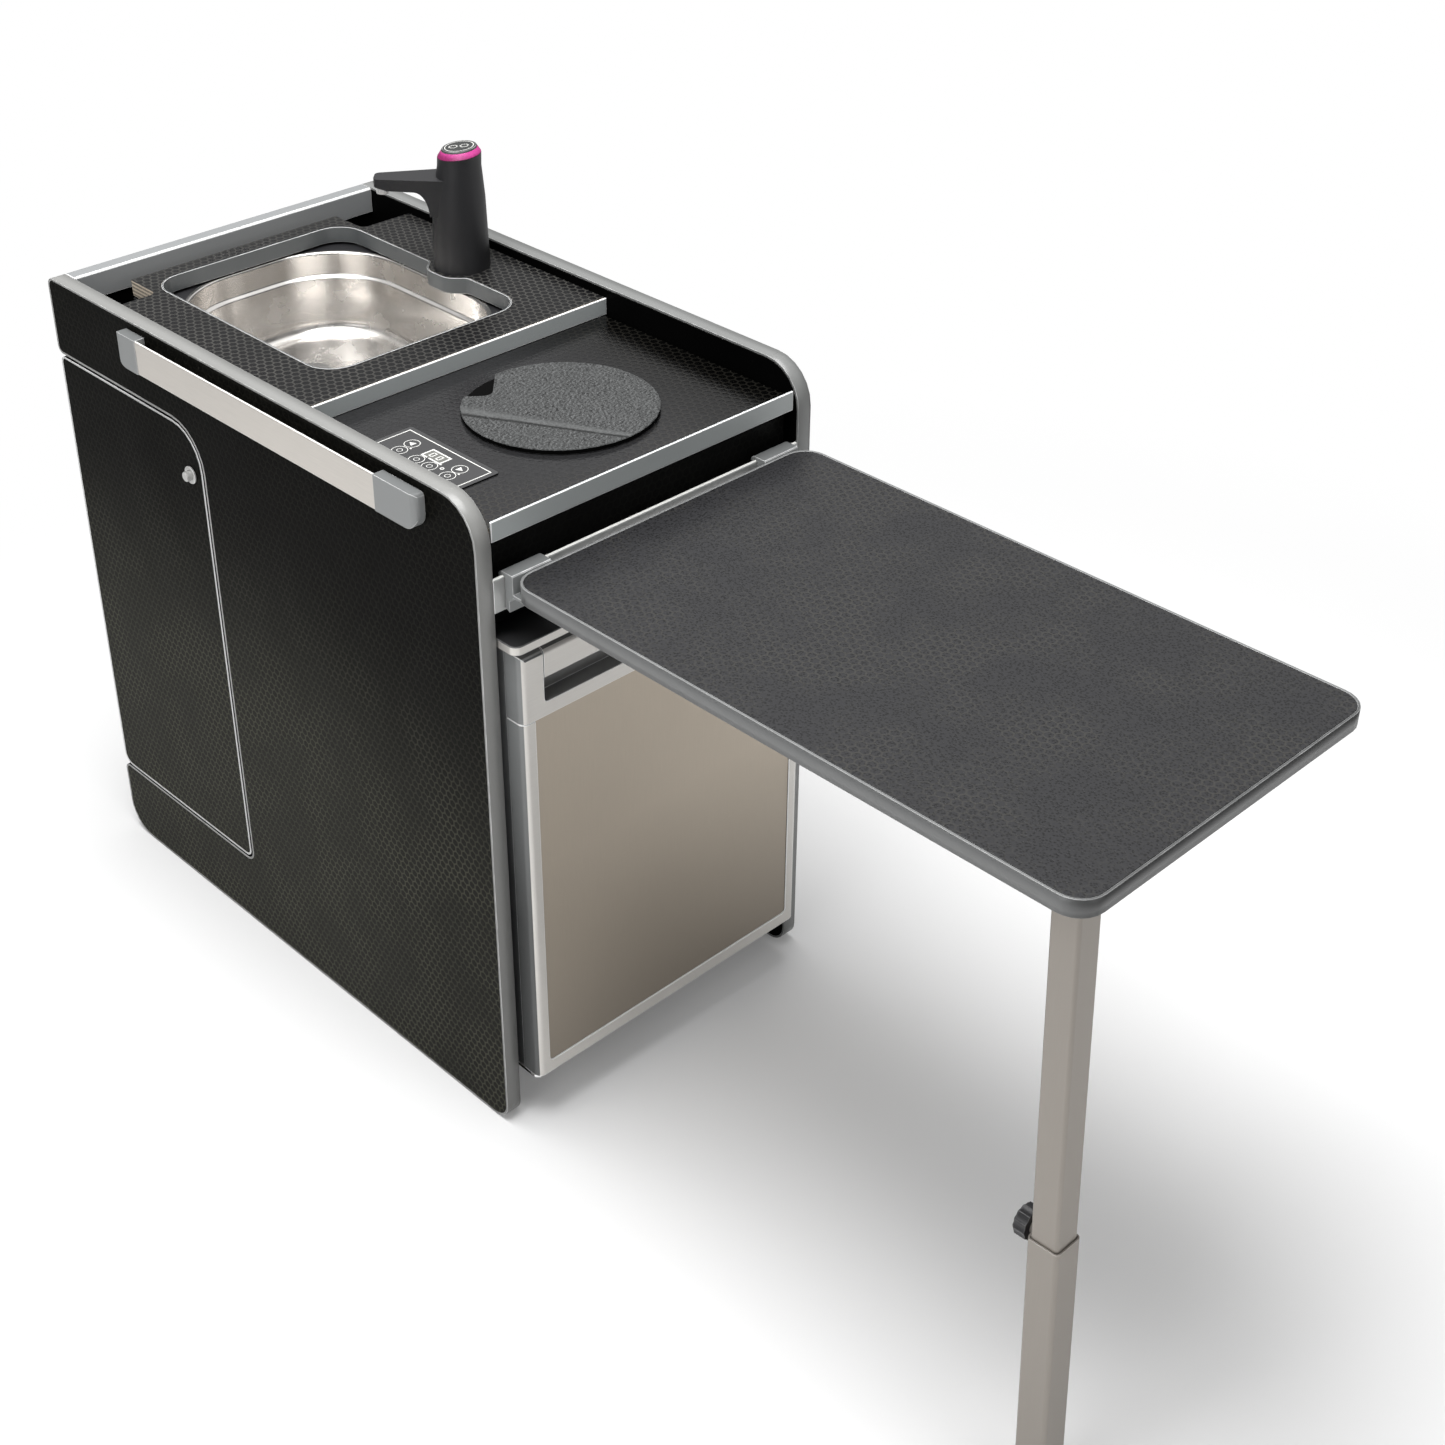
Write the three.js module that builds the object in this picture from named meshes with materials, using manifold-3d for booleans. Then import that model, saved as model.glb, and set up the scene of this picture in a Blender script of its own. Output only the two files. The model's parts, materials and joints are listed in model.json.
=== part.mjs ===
// Campervan kitchen pod: sink, tap, hob, fridge, water cans, hang rails and a hook-on table with a leg.
// Millimetres, +Z up. The front (fridge and table) faces -Y, the side with the small door faces -X.

import * as THREE from 'three';
import { mergeVertices } from 'three/addons/utils/BufferGeometryUtils.js';
import Module from 'manifold-3d';

const wasm = await Module();
wasm.setup();

// Carcass
const pod_width = 434;
const pod_depth = 728;
const pod_height = 735;
const panel_thickness = 18;
const front_top_radius = 46;
const front_bottom_radius = 22;
const back_top_radius = 10;
const back_bottom_radius = 38;
const fit_gap = 0.3;
const overrun = 5;

// Grey edging pressed into a groove all round each board
const edging_cap = 2.5;
const edging_stem_depth = 7;
const edging_stem_width = 2;

// Base board, back board and the hollow profile along its top
const base_height = 60;
const base_thickness = 15;
const base_setback = 24;
const back_setback = 8;
const back_thickness = 15;
const back_profile_wall = 2;
const back_profile_height = 30;
const back_profile_radius = 3;

// Sink worktop with its raised front edging and its cut-out
const sink_top_drop = 12;
const sink_top_thickness = 18;
const step_depth_share = 0.3923077;
const step_wall = 2.5;
const step_stem_depth = 8;
const step_stem_width = 2;
const sink_top_back_gap = 45;
const notch_length = 52;
const notch_radius = 8;
const tongue_radius = 3;
const near_notch_width = 56;
const far_notch_width = 67;
const cutout_side_margin = 87;
const cutout_back_margin = 21.5;
const cutout_front_margin = 49.9;
const cutout_centre_x = -3;
const cutout_radius = 34;
const cutout_lining = 2.2;
const bite_depth = 17;
const bite_flat = 34;
const bite_slope = 16;
const bite_radius = 20;
const bite_fillet = 10;

// Board, pan and drain under the cut-out
const sink_board_thickness = 5;
const sink_board_margin = 24;
const pan_inset = 2;
const pan_radius = 96;
const pan_flange = 5;
const pan_flange_gap = 2;
const pan_wall = 1.2;
const pan_depth = 96;
const pan_shoulder_depth = 31;
const pan_shoulder_step = 4;
const pan_floor_inset = 9;
const pan_floor_rise = 8;
const drain_setback = 102;
const drain_hole = 17;
const drain_bore = 8;
const drain_flange_radius = 24;
const drain_flange_height = 2;
const drain_body_height = 12;
const drain_tail_radius = 10;
const drain_tail_length = 40;

// Hob worktop, its edging with a raised lip, the hob, its round cover and the control panel
const step_rise = 19;
const hob_top_thickness = 15;
const hob_top_side_gap = 4;
const hob_top_front = 4;
const hob_lip_height = 7;
const hob_edging_height = 21;
const hob_centre_y = 144.5;
const hob_bore_radius = 76;
const hob_glass_radius = 75;
const hob_glass_thickness = 4;
const hob_glass_recess = 1;
const hob_housing_width = 190;
const hob_housing_height = 52;
const hob_housing_radius = 12;
const hob_housing_wall = 2;
const hob_collar_inset = 3;
const hob_collar_wall = 3;
const hob_vent_count = 9;
const hob_vent_width = 4;
const hob_vent_length = 110;
const hob_vent_spacing = 12;
const cover_radius = 99;
const cover_thickness = 6;
const cover_chamfer = 0.8;
const cover_notch_floor = 1.2;
const cover_notch_reach_share = 0.722;
const cover_notch_angle = 120.8;
const cover_notch_low_turn = 47;
const cover_notch_high_turn = 140;
const cover_notch_side_share = 0.72;
const cover_notch_corner = 10;
const cover_control_gap = 32;
const control_width = 62;
const control_length = 134;
const control_thickness = 1.5;
const control_front = 81;
const control_setin = 78;
const control_radius = 3;

// Fascia and hang rails
const fascia_setback = 20;
const fascia_thickness = 12;
const fascia_height = 95;
const front_rail_drop = 50;
const front_rail_height = 35;
const front_rail_plate = 5;
const front_rail_web = 6;
const front_rail_foot_height = 21;
const rail_foot = 2.5;
const side_rail_drop = 11;
const side_rail_height = 37;
const side_rail_depth = 12;
const side_rail_plate = 3;
const side_rail_web = 5;
const side_rail_foot_height = 25;
const side_rail_front = 131;
const side_rail_length = 405;
const front_cap_length = 61;
const rear_cap_length = 38;
const cap_top_radius = 5;
const cap_low_radius = 16;
const cap_plan_radius = 7;
const cap_oversize = 0.6;

// Side door, its hinge and its push lock
const door_length = 276;
const door_bottom = 94;
const door_headroom = 89;
const door_gap = 3;
const opening_radius = 9;
const door_top_front_radius = 50;
const door_bottom_front_radius = 13;
const door_top_back_radius = 8;
const door_bottom_back_radius = 15;
const hinge_end_gap = 66;
const hinge_barrel = 3.4;
const hinge_pin = 1.5;
const hinge_pin_clearance = 0.3;
const hinge_leaf = 1.5;
const hinge_leaf_width = 15;
const hinge_knuckles = 7;
const hinge_knuckle_gap = 0.5;
const hinge_offset = 4;
const lock_setback = 25;
const lock_drop = 58;
const lock_bore = 8;
const lock_bore_clearance = 0.3;
const rosette_radius = 9.8;
const rosette_thickness = 2;
const lock_case_size = 32;
const lock_case_depth = 8;
const lock_knob_radius = 5.6;
const lock_knob_clearance = 0.3;
const lock_knob_out = 6;
const lock_knob_length = 19;
const lock_knob_chamfer = 0.8;
const bolt_width = 12;
const bolt_thickness = 3.6;
const bolt_length = 22;
const bolt_setback = 2;
const bolt_clearance = 0.4;
const bolt_wall = 2;
const bolt_channel_spare = 9;

// Fridge cabinet
const fridge_side_gap = 8.5;
const fridge_front = -23;
const fridge_back_gap = 260;
const fridge_headroom = 114;
const fridge_cover_thickness = 10;
const fridge_cover_overhang = 5.5;
const fridge_cover_wing = 80;
const fridge_cover_radius = 9;
const fridge_wall = 32;
const fridge_bay_depth = 138;
const fridge_bay_height = 170;
const icebox_side_gap = 45.5;
const icebox_depth = 170;
const icebox_height = 105;
const icebox_wall = 2;
const compressor_radius = 54;
const compressor_height = 118;
const compressor_offset_share = 0.3674541;
const compressor_plate = 4;
const compressor_plate_margin = 6;
const compressor_dome = 12;

// Fridge door, handle and hinge
const fridge_door_gap = 3.4;
const fridge_door_lift = 0.5;
const door_shell_depth = 25;
const door_shell_radius = 8;
const door_liner_depth = 13;
const door_liner_inset = 1.5;
const door_stile = 15.5;
const door_bottom_rail = 15;
const insert_radius = 5;
const insert_thickness = 3;
const insert_recess = 1.2;
const module_height = 75.1;
const module_top_radius = 8;
const recess_side_margin = 27.5;
const recess_depth = 19;
const recess_bottom_margin = 15.8;
const recess_radius = 4;
const flap_height = 32.1;
const flap_end_gap = 0.8;
const flap_thickness = 3.5;
const flap_return = 15;
const flap_bend = 4;
const seal_width = 12;
const seal_depth = 4.7;
const seal_inset = 6;
const hinge_plate_length = 34;
const hinge_plate_thickness = 3;
const hinge_plate_reach = 4;
const hinge_plate_radius = 6;
const hinge_plate_pin = 3;
const hinge_plate_pin_height = 8;
const hinge_plate_pin_clearance = 0.3;
const fridge_axis_inset = 8;

// Water cans and hoses
const can_side_gap = 16;
const can_depth = 196;
const can_height = 330;
const can_radius = 26;
const can_shoulder = 20;
const can_foot = 8;
const can_cap_radius = 24;
const can_cap_height = 22;
const can_middle_gap = 22;
const can_back_gap = 19;
const hose_radius = 6;
const hose_sides = 8;
const hose_steps = 26;

// Tap
const tap_setin = 72;
const tap_place_share = 0.3972393;
const tap_foot_radius = 31.5;
const tap_waist_radius = 30.5;
const tap_shoulder_radius = 28.5;
const tap_neck_radius = 24;
const tap_waist_height = 42;
const tap_shoulder_height = 80;
const tap_body_height = 128;
const tap_ring_height = 6;
const tap_ring_top_radius = 20;
const tap_cap_height = 2;
const tap_cap_radius = 18.5;
const tap_lean_start = 60;
const tap_lean = 3.5;
const tap_tilt_start = 116;
const tap_tilt = 6;
const tap_seam = 0.3;
const tap_spout_angle = 135.8;
const tap_spout_length = 90.5;
const tap_spout_top = 104.6;
const tap_spout_fall = 2;
const tap_spout_tip_height = 9;
const tap_spout_depth = 14.6;
const tap_spout_root_depth = 41.6;
const tap_spout_root_half = 24;
const tap_spout_root_back = 8;
const tap_spout_tip_half = 10.5;
const tap_spout_tip_radius = 6;
const tap_spout_arch_start = 30;
const tap_spout_arch_end = 46;
const tap_spout_lip = 76;
const tap_aerator_radius = 7;
const tap_aerator_bore = 4.5;
const tap_aerator_height = 9;
const tap_aerator_setback = 8.7;
const tap_aerator_drop = 6;
const tap_shank_radius = 12;
const tap_shank_length = 34;
const tap_shank_clearance = 1;

// Table and its two hooks
const table_near_gap = 26;
const table_far_gap = 20;
const table_length = 646;
const table_gap = 12;
const table_rise = 2;
const table_thickness = 17.5;
const table_radius = 26;
const hook_width = 47;
const hook_inset_near = 5;
const hook_inset_far = 10;
const hook_clearance = 0.6;
const hook_wall = 3.4;
const hook_lip_angle = 5;
const hook_flange_drop = 34;
const hook_tip_depth = 5;
const hook_tip_rise = 3;
const hook_plate_length = 40;
const hook_plate_thickness = 3.4;
const hook_gusset = 6;
const hook_top_chamfer = 1;

// Table leg with its corner hinge, sleeve, foot and clamp knob
const leg_inset = 8.5;
const leg_splay = 2.57;
const leg_tube_size = 28;
const leg_tube_wall = 2;
const leg_tube_radius = 3.5;
const leg_tube_top_gap = 1;
const leg_tube_length = 412;
const leg_sleeve_clearance = 0.4;
const leg_sleeve_wall = 1.6;
const leg_sleeve_radius = 4.5;
const leg_sleeve_top = 339;
const leg_hinge_radius = 4;
const leg_hinge_gap = 0.3;
const leg_hinge_drop = 7;
const leg_hinge_pin = 2;
const leg_knuckle_half = 6;
const leg_ear_half = 12;
const leg_plate_thickness = 2;
const leg_plate_length = 44;
const leg_plate_width = 27;
const foot_wall = 1.8;
const foot_height = 26;
const foot_sole = 12;
const clamp_tab_width = 18;
const clamp_tab_height = 14;
const clamp_boss = 3;
const clamp_boss_radius = 8;
const knob_radius = 15;
const knob_length = 13;
const knob_lobes = 12;
const knob_lobe_depth = 1.2;
const knob_chamfer = 1.5;
const knob_stud_radius = 2.8;
const knob_stud_clearance = 0.4;

// How finely round stretches are divided
const corner_steps = 6;
const arc_steps = 8;
const round_sides = 36;
const small_sides = 16;
const weld_distance = 0.0001;

// Places worked out from the sizes
const degree = Math.PI / 180;
const near_outer = -pod_width / 2;
const near_inner = near_outer + panel_thickness;
const far_outer = pod_width / 2;
const far_inner = far_outer - panel_thickness;
const inner_half = far_inner - fit_gap;
const back_rear = pod_depth - back_setback;
const back_front = back_rear - back_thickness;
const base_top = base_height;
const sink_top_height = pod_height - sink_top_drop;
const sink_top_bottom = sink_top_height - sink_top_thickness;
const sink_top_back = pod_depth - sink_top_back_gap;
const notch_front = sink_top_back - notch_length;
const step_depth = pod_depth * step_depth_share;
const cutout_width = pod_width - 2 * cutout_side_margin;
const cutout_front = step_depth + cutout_front_margin;
const cutout_length = sink_top_back - cutout_back_margin - cutout_front;
const tap_x = far_outer - tap_setin;
const tap_y = cutout_front + cutout_length * tap_place_share;
const hob_top_height = sink_top_height - step_rise;
const hob_top_bottom = hob_top_height - hob_top_thickness;
const hob_top_back = step_depth - fit_gap;
const hob_half = far_inner - hob_top_side_gap;
const hob_centre_x = near_inner + control_setin + cover_control_gap + cover_radius;
const fridge_half = far_inner - fridge_side_gap;
const fridge_back = pod_depth - fridge_back_gap;
const fridge_top = hob_top_height - fridge_headroom;
const icebox_width = 2 * (fridge_half - icebox_side_gap);
const recess_width = 2 * (fridge_half - recess_side_margin);
const compressor_offset = fridge_half * compressor_offset_share;
const can_width = far_inner - can_side_gap - can_middle_gap / 2;
const can_spacing = can_width + can_middle_gap;
const front_rail_top = hob_top_height - front_rail_drop;
const side_rail_top = pod_height - side_rail_drop;
const door_front = pod_depth - door_length;
const door_top = pod_height - door_headroom;
const hinge_length = door_top - door_bottom - 2 * hinge_end_gap;
const table_left = near_outer + table_near_gap;
const table_width = pod_width - table_near_gap - table_far_gap;
const table_height = front_rail_top + table_rise;
const fridge_cover_bottom = fridge_top - fridge_cover_thickness;
const shell_back = fridge_front + door_shell_depth;
const door_back = shell_back + door_liner_depth;
const case_front = door_back + seal_depth + fit_gap;
const fridge_door_bottom = base_top + fridge_door_lift;
const fridge_door_top = fridge_cover_bottom - fridge_door_gap;
const module_bottom = fridge_door_top - module_height;
const fridge_axis_x = -fridge_half + fridge_axis_inset;
const fridge_axis_y = fridge_front + fridge_axis_inset;
const table_bottom = table_height - table_thickness;
const rail_axis_y = front_rail_plate / 2;
const rail_axis_z = front_rail_top - front_rail_plate / 2;
const hinge_axis_x = near_inner + hinge_offset;
const hinge_axis_y = back_rear + hinge_barrel;
const door_rear = hinge_axis_y + hinge_barrel - hinge_leaf - fit_gap;
const lock_y = door_front + lock_setback;
const lock_z = door_top - lock_drop;

// Finishes
const finish = (color, roughness, metalness) => new THREE.MeshStandardMaterial({ color, roughness, metalness });
const black_laminate = () => finish(0x232322, 0.55, 0);
const worktop_laminate = () => finish(0x3e3e40, 0.6, 0);
const table_laminate = () => finish(0x434344, 0.7, 0);
const grey_edging = () => finish(0x9a9c9d, 0.45, 0);
const aluminium = () => finish(0xbdb8b0, 0.4, 0.8);
const grey_plastic = () => finish(0x9b9d9d, 0.5, 0);
const steel = () => finish(0xc9c4bd, 0.22, 1);
const silver_paint = () => finish(0xbab6b0, 0.4, 0.4);
const bronze_panel = () => finish(0x8c8377, 0.45, 0.4);
const black_plastic = () => finish(0x191918, 0.55, 0);
const white_plastic = () => finish(0xdcdcd8, 0.5, 0);
const rubber = () => finish(0x202020, 0.85, 0);
const cover_rubber = () => finish(0x767776, 0.9, 0);
const dark_glass = () => finish(0x0b0b0c, 0.1, 0);
const glow_ring = () => finish(0xd450a0, 0.4, 0);
const hose_plastic = () => finish(0x5d6264, 0.5, 0);
const can_plastic = () => finish(0xd4d9dc, 0.5, 0);

// Lists the points of an outline with a radius at each corner, given anticlockwise, moved inwards by inset.
function roundedOutline(corners, inset = 0) {
  const points = [];
  const count = corners.length;
  for (let i = 0; i < count; i += 1) {
    const [x, y, radius] = corners[i];
    const [before_x, before_y] = corners[(i + count - 1) % count];
    const [after_x, after_y] = corners[(i + 1) % count];
    const into = new THREE.Vector2(x - before_x, y - before_y).normalize();
    const out = new THREE.Vector2(after_x - x, after_y - y).normalize();
    const turn = Math.atan2(into.cross(out), into.dot(out));
    const side = Math.sign(turn);
    const reach = 1 / Math.cos(turn / 2);
    const inward = new THREE.Vector2(-into.y - out.y, into.x + out.x).normalize();
    const vertex = new THREE.Vector2(x, y).addScaledVector(inward, inset * reach);
    const bend = radius - inset * side;
    if (bend <= 0) {
      points.push(vertex);
      continue;
    }
    const centre = vertex.clone().addScaledVector(inward, bend * side * reach);
    const start = Math.atan2(-side * into.x, side * into.y);
    const steps = Math.max(2, Math.ceil((Math.abs(turn) * 2 * corner_steps) / Math.PI));
    for (let s = 0; s <= steps; s += 1) {
      const angle = start + (turn * s) / steps;
      points.push(new THREE.Vector2(centre.x + bend * Math.cos(angle), centre.y + bend * Math.sin(angle)));
    }
  }
  return points;
}

// Corners of a rectangle, with one radius for all four corners.
function rectangle(x0, y0, x1, y1, radius = 0) {
  return [[x0, y0, radius], [x1, y0, radius], [x1, y1, radius], [x0, y1, radius]];
}

// Points of a circle.
function circle(x, y, radius, sides) {
  const points = [];
  for (let i = 0; i < sides; i += 1) {
    const angle = (2 * Math.PI * i) / sides;
    points.push(new THREE.Vector2(x + radius * Math.cos(angle), y + radius * Math.sin(angle)));
  }
  return points;
}

// Closed solid for cutting and joining, made from a geometry.
function solid(geometry) {
  const bare = new THREE.BufferGeometry();
  bare.setAttribute('position', geometry.getAttribute('position'));
  bare.setIndex(geometry.getIndex());
  const merged = mergeVertices(bare, weld_distance);
  return new wasm.Manifold(new wasm.Mesh({
    numProp: 3,
    vertProperties: new Float32Array(merged.getAttribute('position').array),
    triVerts: new Uint32Array(merged.getIndex().array),
  }));
}

// Directions of an outline's two axes and of its depth, for outlines drawn in three planes.
const plane_axes = {
  XY: [new THREE.Vector3(1, 0, 0), new THREE.Vector3(0, 1, 0), new THREE.Vector3(0, 0, 1)],
  XZ: [new THREE.Vector3(1, 0, 0), new THREE.Vector3(0, 0, 1), new THREE.Vector3(0, -1, 0)],
  YZ: [new THREE.Vector3(0, 1, 0), new THREE.Vector3(0, 0, 1), new THREE.Vector3(1, 0, 0)],
};

// Straight solid with the given outline, from low to high across its plane.
function prism(outline, low, high, plane = 'XY') {
  const geometry = new THREE.ExtrudeGeometry(new THREE.Shape(outline), { depth: high - low, bevelEnabled: false });
  geometry.applyMatrix4(new THREE.Matrix4().makeBasis(...plane_axes[plane]));
  if (plane === 'XY') {
    geometry.translate(0, 0, low);
  } else if (plane === 'XZ') {
    geometry.translate(0, high, 0);
  } else {
    geometry.translate(low, 0, 0);
  }
  return solid(geometry);
}

const block = (x0, x1, y0, y1, z0, z1) => prism(roundedOutline(rectangle(x0, y0, x1, y1)), z0, z1);
const rod = (a, b, radius, low, high, plane, sides = round_sides) => {
  return prism(circle(a, b, radius, sides), low, high, plane);
};
const join = (...forms) => wasm.Manifold.union(forms);
const cut = (form, ...tools) => wasm.Manifold.difference([form, ...tools]);
const common = (...forms) => wasm.Manifold.intersection(forms);

// Ring between two insets of one outline.
function band(corners, outer, inner, low, high, plane = 'XY') {
  const wide = prism(roundedOutline(corners, outer), low, high, plane);
  const narrow = prism(roundedOutline(corners, inner), low - overrun, high + overrun, plane);
  return cut(wide, narrow);
}

// Turned solid about a vertical line, from a profile of radius and height pairs.
function turned(profile, x, y, sides = round_sides) {
  const points = profile.map(([radius, height]) => new THREE.Vector2(radius, height));
  const geometry = new THREE.LatheGeometry(points, sides);
  geometry.applyMatrix4(new THREE.Matrix4().makeBasis(
    new THREE.Vector3(1, 0, 0), new THREE.Vector3(0, 0, 1), new THREE.Vector3(0, -1, 0)));
  geometry.translate(x, y, 0);
  return geometry;
}

// Solid skinned over outlines with equal numbers of points, each at its own height.
function loft(layers) {
  const positions = [];
  const index = [];
  const count = layers[0].outline.length;
  for (const { outline, height } of layers) {
    for (const point of outline) {
      positions.push(point.x, point.y, height);
    }
  }
  for (let layer = 0; layer < layers.length - 1; layer += 1) {
    for (let i = 0; i < count; i += 1) {
      const next = (i + 1) % count;
      const low = layer * count;
      const high = low + count;
      index.push(low + i, low + next, high + next, low + i, high + next, high + i);
    }
  }
  const last = (layers.length - 1) * count;
  for (const [a, b, c] of THREE.ShapeUtils.triangulateShape(layers[0].outline, [])) {
    index.push(a, c, b);
  }
  for (const [a, b, c] of THREE.ShapeUtils.triangulateShape(layers[layers.length - 1].outline, [])) {
    index.push(last + a, last + b, last + c);
  }
  const geometry = new THREE.BufferGeometry();
  geometry.setAttribute('position', new THREE.Float32BufferAttribute(positions, 3));
  geometry.setIndex(index);
  return solid(geometry);
}

// Adds a named piece to its group.
function piece(name, form, material, parent) {
  const mesh_data = form.getMesh();
  const geometry = new THREE.BufferGeometry();
  geometry.setAttribute('position', new THREE.Float32BufferAttribute(mesh_data.vertProperties, 3));
  geometry.setIndex(new THREE.Uint32BufferAttribute(mesh_data.triVerts, 1));
  geometry.computeVertexNormals();
  const mesh = new THREE.Mesh(geometry, material);
  mesh.name = name;
  parent.add(mesh);
  return mesh;
}

const group_of = (name, parent) => {
  const inner = new THREE.Group();
  inner.name = name;
  parent.add(inner);
  return inner;
};

const pod = new THREE.Group();
pod.name = 'kitchen_pod';

// Board with a groove round its edge, and the edging that fills the groove and caps the edge.
function edgedBoard(corners, low, high, plane) {
  const middle = (low + high) / 2;
  const stem_low = middle - edging_stem_width / 2;
  const stem_high = middle + edging_stem_width / 2;
  const stem_inset = edging_cap + edging_stem_depth;
  const full = prism(roundedOutline(corners, edging_cap + fit_gap), low, high, plane);
  const groove = band(corners, 0, stem_inset + fit_gap, stem_low - fit_gap, stem_high + fit_gap, plane);
  const cap = band(corners, 0, edging_cap, low, high, plane);
  const stem = band(corners, edging_cap / 2, stem_inset, stem_low, stem_high, plane);
  return { board: cut(full, groove), edging: join(cap, stem) };
}

// Side panels
const side_corners = [
  [0, 0, front_bottom_radius],
  [pod_depth, 0, back_bottom_radius],
  [pod_depth, pod_height, back_top_radius],
  [0, pod_height, front_top_radius],
];
const near_corners = [
  side_corners[0],
  side_corners[1],
  [pod_depth, door_bottom, opening_radius],
  [door_front, door_bottom, door_bottom_front_radius],
  [door_front, door_top, door_top_front_radius],
  [pod_depth, door_top, opening_radius],
  side_corners[2],
  side_corners[3],
];
const near_side = edgedBoard(near_corners, near_outer, near_inner, 'YZ');
piece('near_side_panel', near_side.board, black_laminate(), pod);
piece('near_panel_trim', near_side.edging, grey_edging(), pod);
const far_side = edgedBoard(side_corners, far_inner, far_outer, 'YZ');
piece('far_side_panel', far_side.board, black_laminate(), pod);
piece('far_panel_trim', far_side.edging, grey_edging(), pod);

// Base board, back board and the profile slipped over its top
piece('base_panel',
  block(-inner_half, inner_half, base_setback, back_front, base_top - base_thickness, base_top),
  black_laminate(), pod);
const back_panel_top = pod_height - back_profile_wall - fit_gap;
piece('back_panel',
  block(-inner_half, inner_half, back_front, back_rear, base_top - base_thickness, back_panel_top),
  black_laminate(), pod);
const profile_front = back_front - fit_gap - back_profile_wall;
const profile_rear = back_rear + fit_gap + back_profile_wall;
const profile_bottom = pod_height - back_profile_height;
const profile_top = pod_height - back_profile_wall;
piece('back_edge_trim', prism(roundedOutline([
  [profile_front, profile_bottom, 0],
  [back_front - fit_gap, profile_bottom, 0],
  [back_front - fit_gap, profile_top, 0],
  [back_rear + fit_gap, profile_top, 0],
  [back_rear + fit_gap, profile_bottom, 0],
  [profile_rear, profile_bottom, 0],
  [profile_rear, pod_height, back_profile_radius],
  [profile_front, pod_height, back_profile_radius],
]), -inner_half, inner_half, 'YZ'), grey_edging(), pod);

// Sink worktop: a board with notched back corners, a cut-out and a bore for the tap
const cutout_low_x = cutout_centre_x - cutout_width / 2;
const cutout_high_x = cutout_centre_x + cutout_width / 2;
const cutout_back = cutout_front + cutout_length;
const bite_low = tap_y - bite_flat / 2;
const bite_high = tap_y + bite_flat / 2;
const cutout_corners = [
  [cutout_low_x, cutout_front, cutout_radius],
  [cutout_high_x, cutout_front, cutout_radius],
  [cutout_high_x, bite_low - bite_slope, bite_fillet],
  [cutout_high_x - bite_depth, bite_low, bite_radius],
  [cutout_high_x - bite_depth, bite_high, bite_radius],
  [cutout_high_x, bite_high + bite_slope, bite_fillet],
  [cutout_high_x, cutout_back, cutout_radius],
  [cutout_low_x, cutout_back, cutout_radius],
];
const tongueOutline = (front) => roundedOutline([
  [-inner_half, front, 0],
  [inner_half, front, 0],
  [inner_half, notch_front, 0],
  [far_inner - far_notch_width, notch_front, notch_radius],
  [far_inner - far_notch_width, sink_top_back, tongue_radius],
  [near_inner + near_notch_width, sink_top_back, tongue_radius],
  [near_inner + near_notch_width, notch_front, notch_radius],
  [-inner_half, notch_front, 0],
]);
const tap_bore_radius = tap_shank_radius + tap_shank_clearance;
const step_back = step_depth + step_wall;
const step_stem_low = (sink_top_bottom + sink_top_height - step_stem_width) / 2;
const step_stem_high = step_stem_low + step_stem_width;
piece('sink_worktop', cut(
  prism(tongueOutline(step_back + fit_gap), sink_top_bottom, sink_top_height),
  prism(roundedOutline(cutout_corners), sink_top_bottom - overrun, sink_top_height + overrun),
  rod(tap_x, tap_y, tap_bore_radius, sink_top_bottom - overrun, sink_top_height + overrun, 'XY'),
  block(-far_inner, far_inner, step_depth, step_back + step_stem_depth + fit_gap,
    step_stem_low - fit_gap, step_stem_high + fit_gap),
), worktop_laminate(), pod);
piece('sink_cutout_trim',
  band(cutout_corners, fit_gap, cutout_lining, sink_top_bottom, sink_top_height),
  grey_edging(), pod);
piece('step_trim', join(
  block(-inner_half, inner_half, step_depth, step_back, hob_top_height, sink_top_height),
  block(-inner_half, inner_half, step_back - step_wall / 2, step_back + step_stem_depth,
    step_stem_low, step_stem_high),
), grey_edging(), pod);

// Pan hung in a thin board under the worktop
const pan_corners = rectangle(cutout_low_x + pan_inset, cutout_front + pan_inset,
  cutout_high_x - pan_inset, cutout_back - pan_inset, pan_radius);
const pan_rim = sink_top_bottom - pan_flange_gap;
const board_top = pan_rim - pan_wall;
const pan_floor = pan_rim - pan_depth;
piece('sink_board', cut(
  prism(tongueOutline(cutout_front - sink_board_margin), board_top - sink_board_thickness, board_top),
  prism(roundedOutline(pan_corners, -pan_wall - fit_gap), board_top - pan_depth, pan_rim),
  rod(tap_x, tap_y, tap_bore_radius, board_top - sink_board_thickness - overrun, pan_rim, 'XY'),
), worktop_laminate(), pod);
const panLayers = (wall, top) => [
  { outline: roundedOutline(pan_corners, pan_shoulder_step + pan_floor_inset - wall), height: pan_floor - wall },
  { outline: roundedOutline(pan_corners, pan_shoulder_step - wall), height: pan_floor + pan_floor_rise },
  { outline: roundedOutline(pan_corners, pan_shoulder_step - wall), height: pan_rim - pan_shoulder_depth - wall },
  { outline: roundedOutline(pan_corners, -wall), height: pan_rim - pan_shoulder_depth + pan_shoulder_step - wall },
  { outline: roundedOutline(pan_corners, -wall), height: top },
];
const drain_x = cutout_centre_x;
const drain_y = cutout_back - drain_setback;
piece('sink_pan', cut(
  join(loft(panLayers(pan_wall, board_top)),
    prism(roundedOutline(pan_corners, -pan_flange), board_top, pan_rim)),
  loft(panLayers(0, pan_rim + overrun)),
  rod(drain_x, drain_y, drain_hole, pan_floor - overrun, pan_floor + overrun, 'XY'),
), steel(), pod);
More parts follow.
